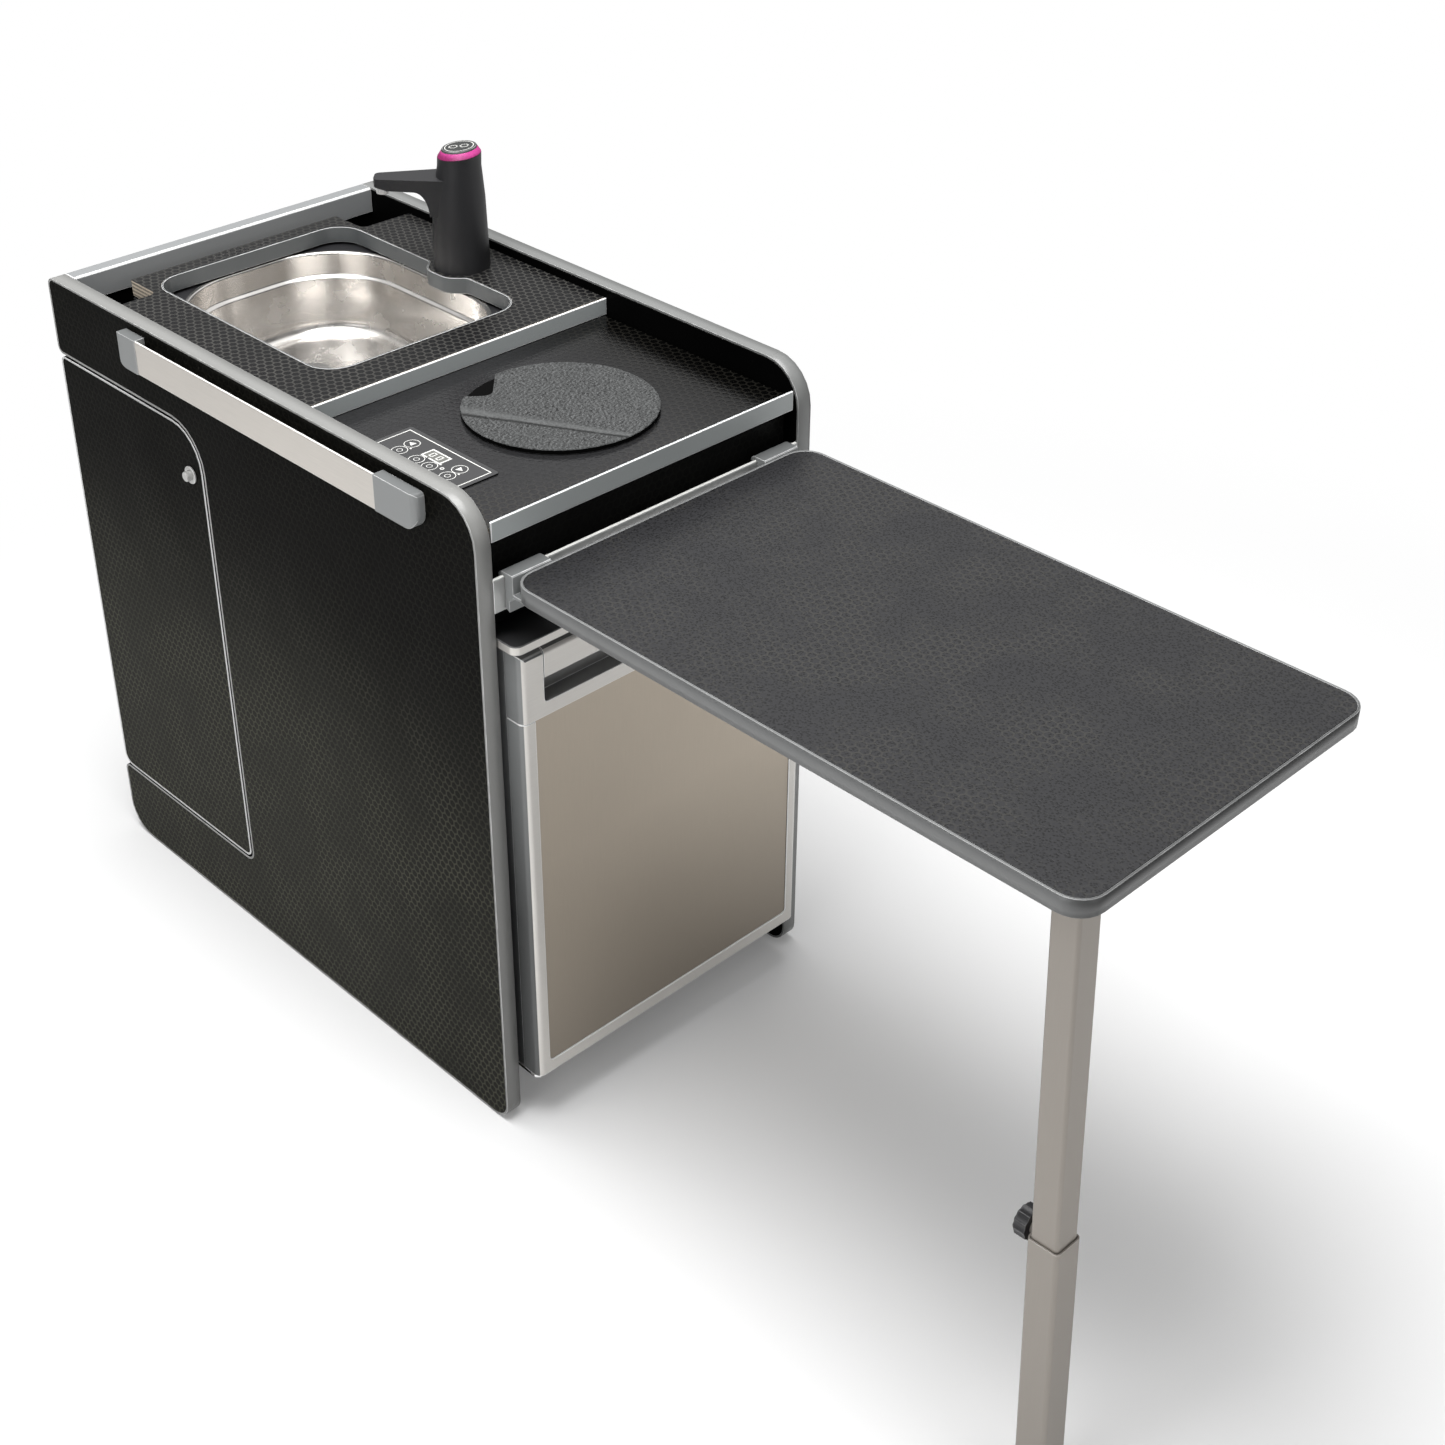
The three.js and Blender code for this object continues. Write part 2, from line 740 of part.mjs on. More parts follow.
const drain_body_bottom = pan_floor - pan_wall - drain_body_height;
const drain_bottom = pan_floor - drain_tail_length;
piece('sink_drain', solid(turned([
  [drain_bore, drain_bottom],
  [drain_tail_radius, drain_bottom],
  [drain_tail_radius, drain_body_bottom],
  [drain_hole - fit_gap, drain_body_bottom],
  [drain_hole - fit_gap, pan_floor],
  [drain_flange_radius, pan_floor],
  [drain_flange_radius, pan_floor + drain_flange_height],
  [drain_bore, pan_floor + drain_flange_height],
  [drain_bore, drain_bottom],
], drain_x, drain_y)), steel(), pod);

// Hob worktop with a straight edging along its front that stands up as a lip
const hob_edging_top = hob_top_height + hob_lip_height;
const hob_edging_bottom = hob_edging_top - hob_edging_height;
const hob_board_front = hob_top_front + edging_cap;
piece('hob_worktop', cut(
  block(-hob_half, hob_half, hob_board_front, hob_top_back, hob_top_bottom, hob_top_height),
  rod(hob_centre_x, hob_centre_y, hob_bore_radius, hob_top_bottom - overrun, hob_top_height + overrun, 'XY'),
), worktop_laminate(), pod);
piece('hob_front_trim',
  block(-hob_half, hob_half, hob_top_front, hob_board_front, hob_edging_bottom, hob_edging_top),
  grey_edging(), pod);

// Hob: a glass disc on a collar that stands in a vented tray under the worktop
const glass_top = hob_top_height - hob_glass_recess;
const glass_bottom = glass_top - hob_glass_thickness;
piece('hob_glass', rod(hob_centre_x, hob_centre_y, hob_glass_radius, glass_bottom, glass_top, 'XY'),
  dark_glass(), pod);
const housing_half = hob_housing_width / 2;
const housing_bottom = hob_top_bottom - hob_housing_height;
const housing_corners = rectangle(hob_centre_x - housing_half, hob_centre_y - housing_half,
  hob_centre_x + housing_half, hob_centre_y + housing_half, hob_housing_radius);
const collar_outer = hob_glass_radius - hob_collar_inset;
const vents = [];
for (let i = 0; i < hob_vent_count; i += 1) {
  const middle = hob_centre_x + (i - (hob_vent_count - 1) / 2) * hob_vent_spacing;
  vents.push(block(middle - hob_vent_width / 2, middle + hob_vent_width / 2,
    hob_centre_y - hob_vent_length / 2, hob_centre_y + hob_vent_length / 2,
    housing_bottom - overrun, housing_bottom + overrun));
}
piece('hob_housing', cut(
  join(
    cut(prism(roundedOutline(housing_corners), housing_bottom, hob_top_bottom),
      prism(roundedOutline(housing_corners, hob_housing_wall), housing_bottom + hob_housing_wall, hob_top_height)),
    cut(rod(hob_centre_x, hob_centre_y, collar_outer, housing_bottom, glass_bottom, 'XY'),
      rod(hob_centre_x, hob_centre_y, collar_outer - hob_collar_wall,
        housing_bottom + hob_housing_wall, hob_top_height, 'XY')),
  ),
  ...vents,
), black_plastic(), pod);
const control_low_x = near_inner + control_setin - control_width;
piece('hob_control_panel', prism(
  roundedOutline(rectangle(control_low_x, control_front, control_low_x + control_width,
    control_front + control_length, control_radius)),
  hob_top_height, hob_top_height + control_thickness), black_plastic(), pod);

// Round cover lying over the hob, with a finger hollow at its edge
const cover_group = group_of('cover', pod);
const cover_top = hob_top_height + cover_thickness;
const notch_turn = cover_notch_angle * degree;
const notch_x = hob_centre_x + cover_radius * cover_notch_reach_share * Math.cos(notch_turn);
const notch_y = hob_centre_y + cover_radius * cover_notch_reach_share * Math.sin(notch_turn);
const notch_side = cover_radius * cover_notch_side_share;
const notchEnd = (turn) => [
  notch_x + notch_side * Math.cos(turn * degree),
  notch_y + notch_side * Math.sin(turn * degree),
  0,
];
piece('disc_cover', cut(
  solid(turned([
    [0, hob_top_height],
    [cover_radius - cover_chamfer, hob_top_height],
    [cover_radius, hob_top_height + cover_chamfer],
    [cover_radius, cover_top - cover_chamfer],
    [cover_radius - cover_chamfer, cover_top],
    [0, cover_top],
  ], hob_centre_x, hob_centre_y)),
  prism(roundedOutline([
    [notch_x, notch_y, cover_notch_corner],
    notchEnd(cover_notch_low_turn),
    notchEnd(cover_notch_high_turn),
  ]), hob_top_height + cover_notch_floor, cover_top + overrun),
), cover_rubber(), cover_group);

// Fascia under the hob worktop
piece('fascia_panel', block(-inner_half, inner_half, fascia_setback, fascia_setback + fascia_thickness,
  hob_top_bottom - fascia_height, hob_top_bottom), black_laminate(), pod);

// Hang rails: an outer plate with a round top, a web along the bottom and a foot against the board
function railCorners(outer, depth, plate, web, foot_height, bottom, top) {
  return [
    [outer, bottom, 0],
    [outer + depth, bottom, 0],
    [outer + depth, bottom + foot_height, 0],
    [outer + depth - rail_foot, bottom + foot_height, 0],
    [outer + depth - rail_foot, bottom + web, 0],
    [outer + plate, bottom + web, 0],
    [outer + plate, top, plate / 2],
    [outer, top, plate / 2],
  ];
}
piece('front_rail', prism(roundedOutline(railCorners(0, fascia_setback, front_rail_plate, front_rail_web,
  front_rail_foot_height, front_rail_top - front_rail_height, front_rail_top)),
-inner_half, inner_half, 'YZ'), aluminium(), pod);
const side_rail_outer = near_outer - side_rail_depth;
const side_rail_bottom = side_rail_top - side_rail_height;
const side_rail_back = side_rail_front + side_rail_length;
piece('side_rail', prism(roundedOutline(railCorners(side_rail_outer, side_rail_depth, side_rail_plate,
  side_rail_web, side_rail_foot_height, side_rail_bottom, side_rail_top)),
side_rail_front, side_rail_back, 'XZ'), aluminium(), pod);
const cap_bottom = side_rail_bottom - cap_oversize;
const cap_top = side_rail_top + cap_oversize;
const cap_outer = side_rail_outer - cap_oversize;
const front_cap_front = side_rail_front - front_cap_length;
piece('side_rail_front_cap', common(
  prism(roundedOutline([
    [front_cap_front, cap_bottom, cap_low_radius],
    [side_rail_front, cap_bottom, 0],
    [side_rail_front, cap_top, 0],
    [front_cap_front, cap_top, cap_top_radius],
  ]), cap_outer, near_outer, 'YZ'),
  prism(roundedOutline([
    [cap_outer, front_cap_front, cap_plan_radius],
    [near_outer, front_cap_front, 0],
    [near_outer, side_rail_front, 0],
    [cap_outer, side_rail_front, 0],
  ]), cap_bottom, cap_top),
), grey_plastic(), pod);
const rear_cap_back = side_rail_back + rear_cap_length;
piece('side_rail_rear_cap', common(
  prism(roundedOutline([
    [side_rail_back, cap_bottom, 0],
    [rear_cap_back, cap_bottom, cap_low_radius],
    [rear_cap_back, cap_top, cap_top_radius],
    [side_rail_back, cap_top, 0],
  ]), cap_outer, near_outer, 'YZ'),
  prism(roundedOutline([
    [cap_outer, side_rail_back, 0],
    [near_outer, side_rail_back, 0],
    [near_outer, rear_cap_back, 0],
    [cap_outer, rear_cap_back, cap_plan_radius],
  ]), cap_bottom, cap_top),
), grey_plastic(), pod);

// Side door in the near panel's open corner
const door_group = group_of('side_door_group', pod);
const door_low = door_bottom + door_gap;
const door_high = door_top - door_gap;
const small_door = edgedBoard([
  [door_front + door_gap, door_low, door_bottom_front_radius - door_gap],
  [door_rear, door_low, door_bottom_back_radius],
  [door_rear, door_high, door_top_back_radius],
  [door_front + door_gap, door_high, door_top_front_radius - door_gap],
], near_outer, near_inner, 'YZ');
const lock_hole = rod(lock_y, lock_z, lock_bore + lock_bore_clearance,
  near_outer - overrun, near_inner + overrun, 'YZ', small_sides);
piece('side_door', cut(small_door.board, lock_hole), black_laminate(), door_group);
piece('side_door_trim', small_door.edging, grey_edging(), door_group);

// Piano hinge in the recess behind the back board; its pin stays with the fixed leaf
const knuckle_pitch = hinge_length / hinge_knuckles;
const hinge_bottom = (door_bottom + door_top - hinge_length) / 2;
const hinge_top = hinge_bottom + hinge_length;
const fixed_knuckles = [];
const moving_knuckles = [];
for (let i = 0; i < hinge_knuckles; i += 1) {
  const low = hinge_bottom + i * knuckle_pitch + hinge_knuckle_gap / 2;
  const high = low + knuckle_pitch - hinge_knuckle_gap;
  const barrel = rod(hinge_axis_x, hinge_axis_y, hinge_barrel, low, high, 'XY', small_sides);
  if (i % 2 === 0) {
    fixed_knuckles.push(barrel, block(hinge_axis_x, hinge_axis_x + hinge_barrel * 2,
      back_rear, back_rear + hinge_leaf, low, high));
  } else {
    moving_knuckles.push(barrel, block(hinge_axis_x - hinge_barrel * 2, hinge_axis_x,
      hinge_axis_y + hinge_barrel - hinge_leaf, hinge_axis_y + hinge_barrel, low, high));
  }
}
const leaf_start = hinge_barrel + hinge_pin_clearance;
piece('door_hinge_fixed', join(
  block(hinge_axis_x + leaf_start, hinge_axis_x + leaf_start + hinge_leaf_width,
    back_rear, back_rear + hinge_leaf, hinge_bottom, hinge_top),
  ...fixed_knuckles,
  rod(hinge_axis_x, hinge_axis_y, hinge_pin, hinge_bottom, hinge_top, 'XY', small_sides),
), aluminium(), pod);
piece('door_hinge_leaf', cut(
  join(
    block(hinge_axis_x - leaf_start - hinge_leaf_width, hinge_axis_x - leaf_start,
      hinge_axis_y + hinge_barrel - hinge_leaf, hinge_axis_y + hinge_barrel, hinge_bottom, hinge_top),
    ...moving_knuckles,
  ),
  rod(hinge_axis_x, hinge_axis_y, hinge_pin + hinge_pin_clearance,
    hinge_bottom - overrun, hinge_top + overrun, 'XY', small_sides),
), aluminium(), door_group);

// Push lock: a case through the door, a knob that slides in it and a bolt behind the panel's edge
const case_half = lock_case_size / 2;
const bolt_low_x = near_inner + bolt_wall;
const bolt_tip = door_front + bolt_setback;
const case_front_y = lock_y - case_half;
piece('lock_case', cut(
  join(
    rod(lock_y, lock_z, rosette_radius, near_outer - rosette_thickness, near_outer, 'YZ', round_sides),
    rod(lock_y, lock_z, lock_bore, near_outer - rosette_thickness, near_inner + bolt_wall, 'YZ', small_sides),
    block(near_inner, near_inner + lock_case_depth, case_front_y, lock_y + case_half,
      lock_z - case_half, lock_z + case_half),
  ),
  rod(lock_y, lock_z, lock_knob_radius + lock_knob_clearance,
    near_outer - rosette_thickness - overrun, near_inner, 'YZ', small_sides),
  block(bolt_low_x - bolt_clearance, bolt_low_x + bolt_thickness + bolt_clearance,
    case_front_y - overrun, bolt_tip + bolt_length + bolt_channel_spare,
    lock_z - bolt_width / 2 - bolt_clearance, lock_z + bolt_width / 2 + bolt_clearance),
), steel(), door_group);
const knob_group = group_of('lock_knob_group', door_group);
const knob_start = near_outer - rosette_thickness - lock_knob_out;
piece('lock_knob', join(
  rod(lock_y, lock_z, lock_knob_radius - lock_knob_chamfer, knob_start,
    knob_start + lock_knob_chamfer, 'YZ', small_sides),
  rod(lock_y, lock_z, lock_knob_radius, knob_start + lock_knob_chamfer,
    knob_start + lock_knob_length, 'YZ', small_sides),
), steel(), knob_group);
const bolt_group = group_of('lock_bolt_group', door_group);
piece('lock_bolt', block(bolt_low_x, bolt_low_x + bolt_thickness, bolt_tip, bolt_tip + bolt_length,
  lock_z - bolt_width / 2, lock_z + bolt_width / 2), steel(), bolt_group);

// Fridge cabinet: foam walls, a step over the compressor bay, a freezer box and a top cover
const bay_front = fridge_back - fridge_bay_depth;
const bay_top = base_top + fridge_bay_height;
const inside_half = fridge_half - fridge_wall;
const inside_bottom = base_top + fridge_wall;
const inside_top = fridge_cover_bottom - fridge_wall;
const inside_back = fridge_back - fridge_wall;
piece('fridge_case', cut(
  block(-fridge_half, fridge_half, case_front, fridge_back, base_top, fridge_cover_bottom),
  block(-inside_half, inside_half, case_front - overrun, bay_front - fridge_wall, inside_bottom, inside_top),
  block(-inside_half, inside_half, case_front - overrun, inside_back, bay_top + fridge_wall, inside_top),
  block(-inside_half, inside_half, bay_front, fridge_back + overrun, base_top - overrun, bay_top),
), white_plastic(), pod);
const cover_half = fridge_half + fridge_cover_overhang;
const wing_back = fridge_front + fridge_cover_wing;
piece('fridge_cover', prism(roundedOutline([
  [-cover_half, fridge_front, fridge_cover_radius],
  [cover_half, fridge_front, fridge_cover_radius],
  [cover_half, wing_back, 0],
  [fridge_half, wing_back, 0],
  [fridge_half, fridge_back, 0],
  [-fridge_half, fridge_back, 0],
  [-fridge_half, wing_back, 0],
  [-cover_half, wing_back, 0],
]), fridge_cover_bottom, fridge_top), black_plastic(), pod);
const icebox_half = icebox_width / 2;
const icebox_back = inside_back - fit_gap;
const icebox_front = icebox_back - icebox_depth;
piece('fridge_evaporator', cut(
  block(-icebox_half, icebox_half, icebox_front, icebox_back, inside_top - icebox_height, inside_top),
  block(-icebox_half + icebox_wall, icebox_half - icebox_wall, icebox_front - overrun,
    icebox_back - icebox_wall, inside_top - icebox_height + icebox_wall, inside_top - icebox_wall),
), aluminium(), pod);
const compressor_y = (bay_front + fridge_back) / 2;
const compressor_reach = compressor_radius + compressor_plate_margin;
const compressor_top = base_top + compressor_height;
piece('fridge_compressor', join(
  block(compressor_offset - compressor_reach, compressor_offset + compressor_reach,
    compressor_y - compressor_reach, compressor_y + compressor_reach, base_top, base_top + compressor_plate),
  solid(turned([
    [0, base_top],
    [compressor_radius, base_top],
    [compressor_radius, compressor_top - compressor_dome],
    [compressor_radius - compressor_dome, compressor_top],
    [0, compressor_top],
  ], compressor_offset, compressor_y)),
), black_plastic(), pod);

// Lower hinge plate, under the cabinet's front edge, with the pin the door turns on
const plate_top = base_top;
piece('fridge_hinge_lower', join(
  prism(roundedOutline([
    [-fridge_half, fridge_front + hinge_plate_reach, hinge_plate_radius],
    [-fridge_half + hinge_plate_length, fridge_front + hinge_plate_reach, hinge_plate_radius],
    [-fridge_half + hinge_plate_length, base_setback - fit_gap, 0],
    [-fridge_half, base_setback - fit_gap, 0],
  ]), plate_top - hinge_plate_thickness, plate_top),
  rod(fridge_axis_x, fridge_axis_y, hinge_plate_pin, plate_top - hinge_plate_thickness,
    plate_top + hinge_plate_pin_height, 'XY', small_sides),
), steel(), pod);

// Fridge door: foam core, U-shaped frame, recessed front panel, handle module and seal
const fridge_door_group = group_of('fridge_door_group', pod);
const hinge_hole = rod(fridge_axis_x, fridge_axis_y, hinge_plate_pin + hinge_plate_pin_clearance,
  base_top - overrun, plate_top + hinge_plate_pin_height + hinge_plate_pin_clearance, 'XY', small_sides);
const shellPrism = (low, high) => prism(roundedOutline([
  [-fridge_half, fridge_front, door_shell_radius],
  [fridge_half, fridge_front, door_shell_radius],
  [fridge_half, shell_back, 0],
  [-fridge_half, shell_back, 0],
]), low, high);
const panel_half = fridge_half - door_stile;
const insert_bottom = fridge_door_bottom + door_bottom_rail;
const frame_top = module_bottom - fit_gap;
piece('fridge_door_frame', cut(
  shellPrism(fridge_door_bottom, frame_top),
  prism(roundedOutline([
    [-panel_half, insert_bottom, insert_radius],
    [panel_half, insert_bottom, insert_radius],
    [panel_half, module_bottom + overrun, 0],
    [-panel_half, module_bottom + overrun, 0],
  ]), fridge_front - overrun, shell_back + overrun, 'XZ'),
  hinge_hole,
), silver_paint(), fridge_door_group);
const insert_corners = [
  [-panel_half + fit_gap, insert_bottom + fit_gap, insert_radius],
  [panel_half - fit_gap, insert_bottom + fit_gap, insert_radius],
  [panel_half - fit_gap, frame_top, 0],
  [-panel_half + fit_gap, frame_top, 0],
];
const insert_front = fridge_front + insert_recess;
const insert_back = insert_front + insert_thickness;
piece('fridge_door_insert', prism(roundedOutline(insert_corners), insert_front, insert_back, 'XZ'),
  bronze_panel(), fridge_door_group);
piece('fridge_door_core', join(
  prism(roundedOutline(insert_corners), insert_back, shell_back, 'XZ'),
  block(-fridge_half + door_liner_inset, fridge_half - door_liner_inset, shell_back, door_back,
    fridge_door_bottom + door_liner_inset, fridge_door_top - door_liner_inset),
), white_plastic(), fridge_door_group);
const recess_bottom = module_bottom + recess_bottom_margin;
const recess_half = recess_width / 2;
piece('fridge_handle_module', cut(
  common(
    shellPrism(module_bottom, fridge_door_top),
    prism(roundedOutline([
      [fridge_front, module_bottom, 0],
      [shell_back, module_bottom, 0],
      [shell_back, fridge_door_top, 0],
      [fridge_front, fridge_door_top, module_top_radius],
    ]), -fridge_half, fridge_half, 'YZ'),
  ),
  prism(roundedOutline([
    [-recess_half, recess_bottom, recess_radius],
    [recess_half, recess_bottom, recess_radius],
    [recess_half, fridge_door_top + overrun, 0],
    [-recess_half, fridge_door_top + overrun, 0],
  ]), fridge_front - overrun, fridge_front + recess_depth, 'XZ'),
), silver_paint(), fridge_door_group);
const seal_corners = rectangle(-fridge_half + door_liner_inset + seal_inset,
  fridge_door_bottom + door_liner_inset + seal_inset,
  fridge_half - door_liner_inset - seal_inset,
  fridge_door_top - door_liner_inset - seal_inset, seal_width);
piece('fridge_door_seal', band(seal_corners, 0, seal_width, door_back, door_back + seal_depth, 'XZ'),
  rubber(), fridge_door_group);
const flap_group = group_of('fridge_handle_group', fridge_door_group);
const flap_half = recess_half - flap_end_gap;
const flap_bottom = fridge_door_top - flap_height;
const flap_inner = fridge_front + flap_thickness;
const flap_under = fridge_door_top - flap_thickness;
piece('fridge_handle_flap', prism(roundedOutline([
  [fridge_front, flap_bottom, 0],
  [flap_inner, flap_bottom, 0],
  [flap_inner, flap_under, flap_bend],
  [fridge_front + flap_return, flap_under, 0],
  [fridge_front + flap_return, fridge_door_top, 0],
  [fridge_front, fridge_door_top, module_top_radius],
]), -flap_half, flap_half, 'YZ'), silver_paint(), flap_group);

// Water cans behind the fridge, each with a screw cap, and the hoses to the tap and from the drain
const can_y = back_front - can_back_gap - can_depth / 2;
const can_top = base_top + can_height;
const can_cap_top = can_top + can_cap_height;
function can(name, x) {
  const corners = rectangle(x - can_width / 2, can_y - can_depth / 2, x + can_width / 2,
    can_y + can_depth / 2, can_radius);
  piece(name, join(
    loft([
      { outline: roundedOutline(corners, can_foot), height: base_top },
      { outline: roundedOutline(corners), height: base_top + can_foot },
      { outline: roundedOutline(corners), height: can_top - can_shoulder },
      { outline: roundedOutline(corners, can_shoulder), height: can_top },
    ]),
    rod(x, can_y, can_cap_radius, can_top - can_shoulder, can_cap_top, 'XY', small_sides),
  ), can_plastic(), pod);
}
const fresh_x = can_spacing / 2;
const waste_x = -can_spacing / 2;
can('fresh_can', fresh_x);
can('waste_can', waste_x);

// Hose through a list of places, with a square-cut vertical run at each end.
function hose(name, places) {
  const path = new THREE.CatmullRomCurve3(places.map(([x, y, z]) => new THREE.Vector3(x, y, z)));
  const section = new THREE.Shape(circle(0, 0, hose_radius, hose_sides));
  piece(name, solid(new THREE.ExtrudeGeometry(section, {
    steps: hose_steps, bevelEnabled: false, extrudePath: path,
  })), hose_plastic(), pod);
}
const hose_end = can_cap_top + fit_gap;
const shank_bottom = sink_top_height - tap_shank_length;
const drop_share = 0.12;
const bend_share = 0.35;
const lower_share = 0.7;
const last_share = 0.9;
const between = (a, b, share) => a + (b - a) * share;
function hoseRun(name, x, y, z, can_x, sag_y) {
  hose(name, [
    [x, y, z],
    [x, y, between(z, hose_end, drop_share)],
    [x, between(y, sag_y, bend_share), between(z, hose_end, bend_share)],
    [between(x, can_x, lower_share), between(y, can_y, last_share), between(z, hose_end, lower_share)],
    [can_x, can_y, between(z, hose_end, last_share)],
    [can_x, can_y, hose_end],
  ]);
}
hoseRun('water_hose', tap_x, tap_y, shank_bottom - fit_gap, fresh_x, can_y + can_depth / 2);
hoseRun('drain_hose', drain_x, drain_y, drain_bottom - fit_gap, waste_x, can_y);

// Tap: one turned column whose neck leans back, with a spout, a lit ring and a tilted cap
const tap_group = group_of('tap', pod);
const spout_x = Math.cos(tap_spout_angle * degree);
const spout_y = Math.sin(tap_spout_angle * degree);
function leaned(geometry) {
  const position = geometry.getAttribute('position');
  for (let i = 0; i < position.count; i += 1) {
    const x = position.getX(i);
    const y = position.getY(i);
    const z = position.getZ(i);
    const height = z - sink_top_height;
    const lean_share = Math.max(0, height - tap_lean_start) / (tap_body_height - tap_lean_start);
    const shift = -tap_lean * lean_share;
    const along = x * spout_x + y * spout_y;
    const tilt_share = Math.min(1, Math.max(0, height - tap_tilt_start) / (tap_body_height - tap_tilt_start));
    const fall = along * Math.tan(tap_tilt * degree) * tilt_share;
    position.setXYZ(i, tap_x + x + shift * spout_x, tap_y + y + shift * spout_y, z - fall);
  }
  return solid(geometry);
}
const tap_level = (height) => sink_top_height + height;
const column = leaned(turned([
  [0, tap_level(0)],
  [tap_foot_radius, tap_level(0)],
  [tap_waist_radius, tap_level(tap_waist_height)],
  [tap_shoulder_radius, tap_level(tap_shoulder_height)],
  [(tap_shoulder_radius + tap_neck_radius) / 2, tap_level((tap_shoulder_height + tap_tilt_start) / 2)],
  [tap_neck_radius, tap_level(tap_tilt_start)],
  [tap_neck_radius, tap_level(tap_body_height)],
  [0, tap_level(tap_body_height)],
], 0, 0));
const spout_top_z = tap_level(tap_spout_top);
const spout_low_z = spout_top_z - tap_spout_depth;
const arch = [];
for (let i = 0; i <= arc_steps; i += 1) {
  const angle = (i / arc_steps) * (Math.PI / 2);
  arch.push(new THREE.Vector2(
    tap_spout_arch_end - (tap_spout_arch_end - tap_spout_arch_start) * Math.cos(angle),
    spout_low_z - (tap_spout_root_depth - tap_spout_depth) * (1 - Math.sin(angle))));
}
const spout_side = prism([
  new THREE.Vector2(-tap_spout_root_back, spout_top_z - tap_spout_root_depth),
  ...arch,
  new THREE.Vector2(tap_spout_lip, spout_low_z),
  new THREE.Vector2(tap_spout_length, spout_top_z - tap_spout_fall - tap_spout_tip_height),
  new THREE.Vector2(tap_spout_length, spout_top_z - tap_spout_fall),
  new THREE.Vector2(-tap_spout_root_back, spout_top_z),
], -tap_spout_root_half, tap_spout_root_half, 'XZ');
const spout_plan = prism(roundedOutline([
  [-tap_spout_root_back, -tap_spout_root_half, 0],
  [tap_spout_length, -tap_spout_tip_half, tap_spout_tip_radius],
  [tap_spout_length, tap_spout_tip_half, tap_spout_tip_radius],
  [-tap_spout_root_back, tap_spout_root_half, 0],
]), spout_top_z - tap_spout_root_depth - overrun, spout_top_z + overrun);
const aerator_reach = tap_spout_length - tap_aerator_setback;
const aerator_bottom = spout_low_z - tap_aerator_drop;
const aerator_top = aerator_bottom + tap_aerator_height;
const spout_local = cut(common(spout_side, spout_plan),
  rod(aerator_reach, 0, tap_aerator_radius + fit_gap, aerator_bottom - overrun, aerator_top + fit_gap, 'XY'));
function placed(form) {
  const mesh_data = form.getMesh();
  const geometry = new THREE.BufferGeometry();
  geometry.setAttribute('position', new THREE.Float32BufferAttribute(mesh_data.vertProperties, 3));
  geometry.setIndex(new THREE.Uint32BufferAttribute(mesh_data.triVerts, 1));
  geometry.rotateZ(tap_spout_angle * degree);
  geometry.translate(tap_x, tap_y, 0);
  return solid(geometry);
}
piece('tap_body', join(
  column,
  placed(spout_local),
  rod(tap_x, tap_y, tap_shank_radius, shank_bottom, sink_top_height + overrun, 'XY', small_sides),
), black_plastic(), tap_group);
const ring_bottom = tap_level(tap_body_height + tap_seam);
const ring_top = ring_bottom + tap_ring_height;
piece('tap_light_ring', leaned(turned([
  [0, ring_bottom],
  [tap_neck_radius, ring_bottom],
  [tap_ring_top_radius, ring_top],
  [0, ring_top],
], 0, 0)), glow_ring(), tap_group);
piece('tap_cap', leaned(turned([
  [0, ring_top + tap_seam],
  [tap_ring_top_radius, ring_top + tap_seam],
  [tap_cap_radius, ring_top + tap_seam + tap_cap_height],
  [0, ring_top + tap_seam + tap_cap_height],
], 0, 0)), black_plastic(), tap_group);
piece('tap_aerator', placed(cut(
  rod(aerator_reach, 0, tap_aerator_radius, aerator_bottom, aerator_top, 'XY'),
  rod(aerator_reach, 0, tap_aerator_bore, aerator_bottom - overrun, aerator_top - tap_aerator_height / 2, 'XY'),
)), steel(), tap_group);

// Table top, hooked over the front rail by two brackets
const table_group = group_of('table', pod);
const table_right = table_left + table_width;
const table_back = -table_gap;
const table_front = table_back - table_length;
const table_corners = rectangle(table_left, table_front, table_right, table_back, table_radius);
const board = edgedBoard(table_corners, table_bottom, table_height, 'XY');
piece('table_top', board.board, table_laminate(), table_group);
piece('table_trim', board.edging, grey_edging(), table_group);
const hook_inner = front_rail_plate / 2 + hook_clearance;
const hook_outer = hook_inner + hook_wall;
const hookArc = (radius, from, to) => {
  const points = [];
  for (let i = 0; i <= arc_steps; i += 1) {
    const angle = between(from, to, i / arc_steps) * degree;
    points.push(new THREE.Vector2(rail_axis_y + radius * Math.cos(angle), rail_axis_z + radius * Math.sin(angle)));
  }
  return points;
};
const hook_face = table_back + fit_gap;
const hook_top = rail_axis_z + hook_outer;
const hook_flange_y = rail_axis_y - hook_inner;
const hook_tip = rail_axis_z - hook_flange_drop;
const plate_low = table_bottom - hook_plate_thickness;
const hook_outline = [
  new THREE.Vector2(hook_flange_y, hook_tip + hook_tip_rise),
  ...hookArc(hook_inner, 180, hook_lip_angle),
  ...hookArc(hook_outer, hook_lip_angle, 90),
  new THREE.Vector2(hook_face + hook_top_chamfer, hook_top),
  new THREE.Vector2(hook_face, hook_top - hook_top_chamfer),
  new THREE.Vector2(hook_face, table_bottom),
  new THREE.Vector2(hook_face - hook_plate_length, table_bottom),
  new THREE.Vector2(hook_face - hook_plate_length, plate_low),
  new THREE.Vector2(hook_face, plate_low),
  new THREE.Vector2(hook_flange_y - hook_tip_depth, plate_low - hook_gusset),
  new THREE.Vector2(hook_flange_y - hook_tip_depth, hook_tip),
];
function tableHook(name, x) {
  piece(name, prism(hook_outline, x, x + hook_width, 'YZ'), grey_plastic(), table_group);
}
tableHook('table_bracket_near', table_left + hook_inset_near);
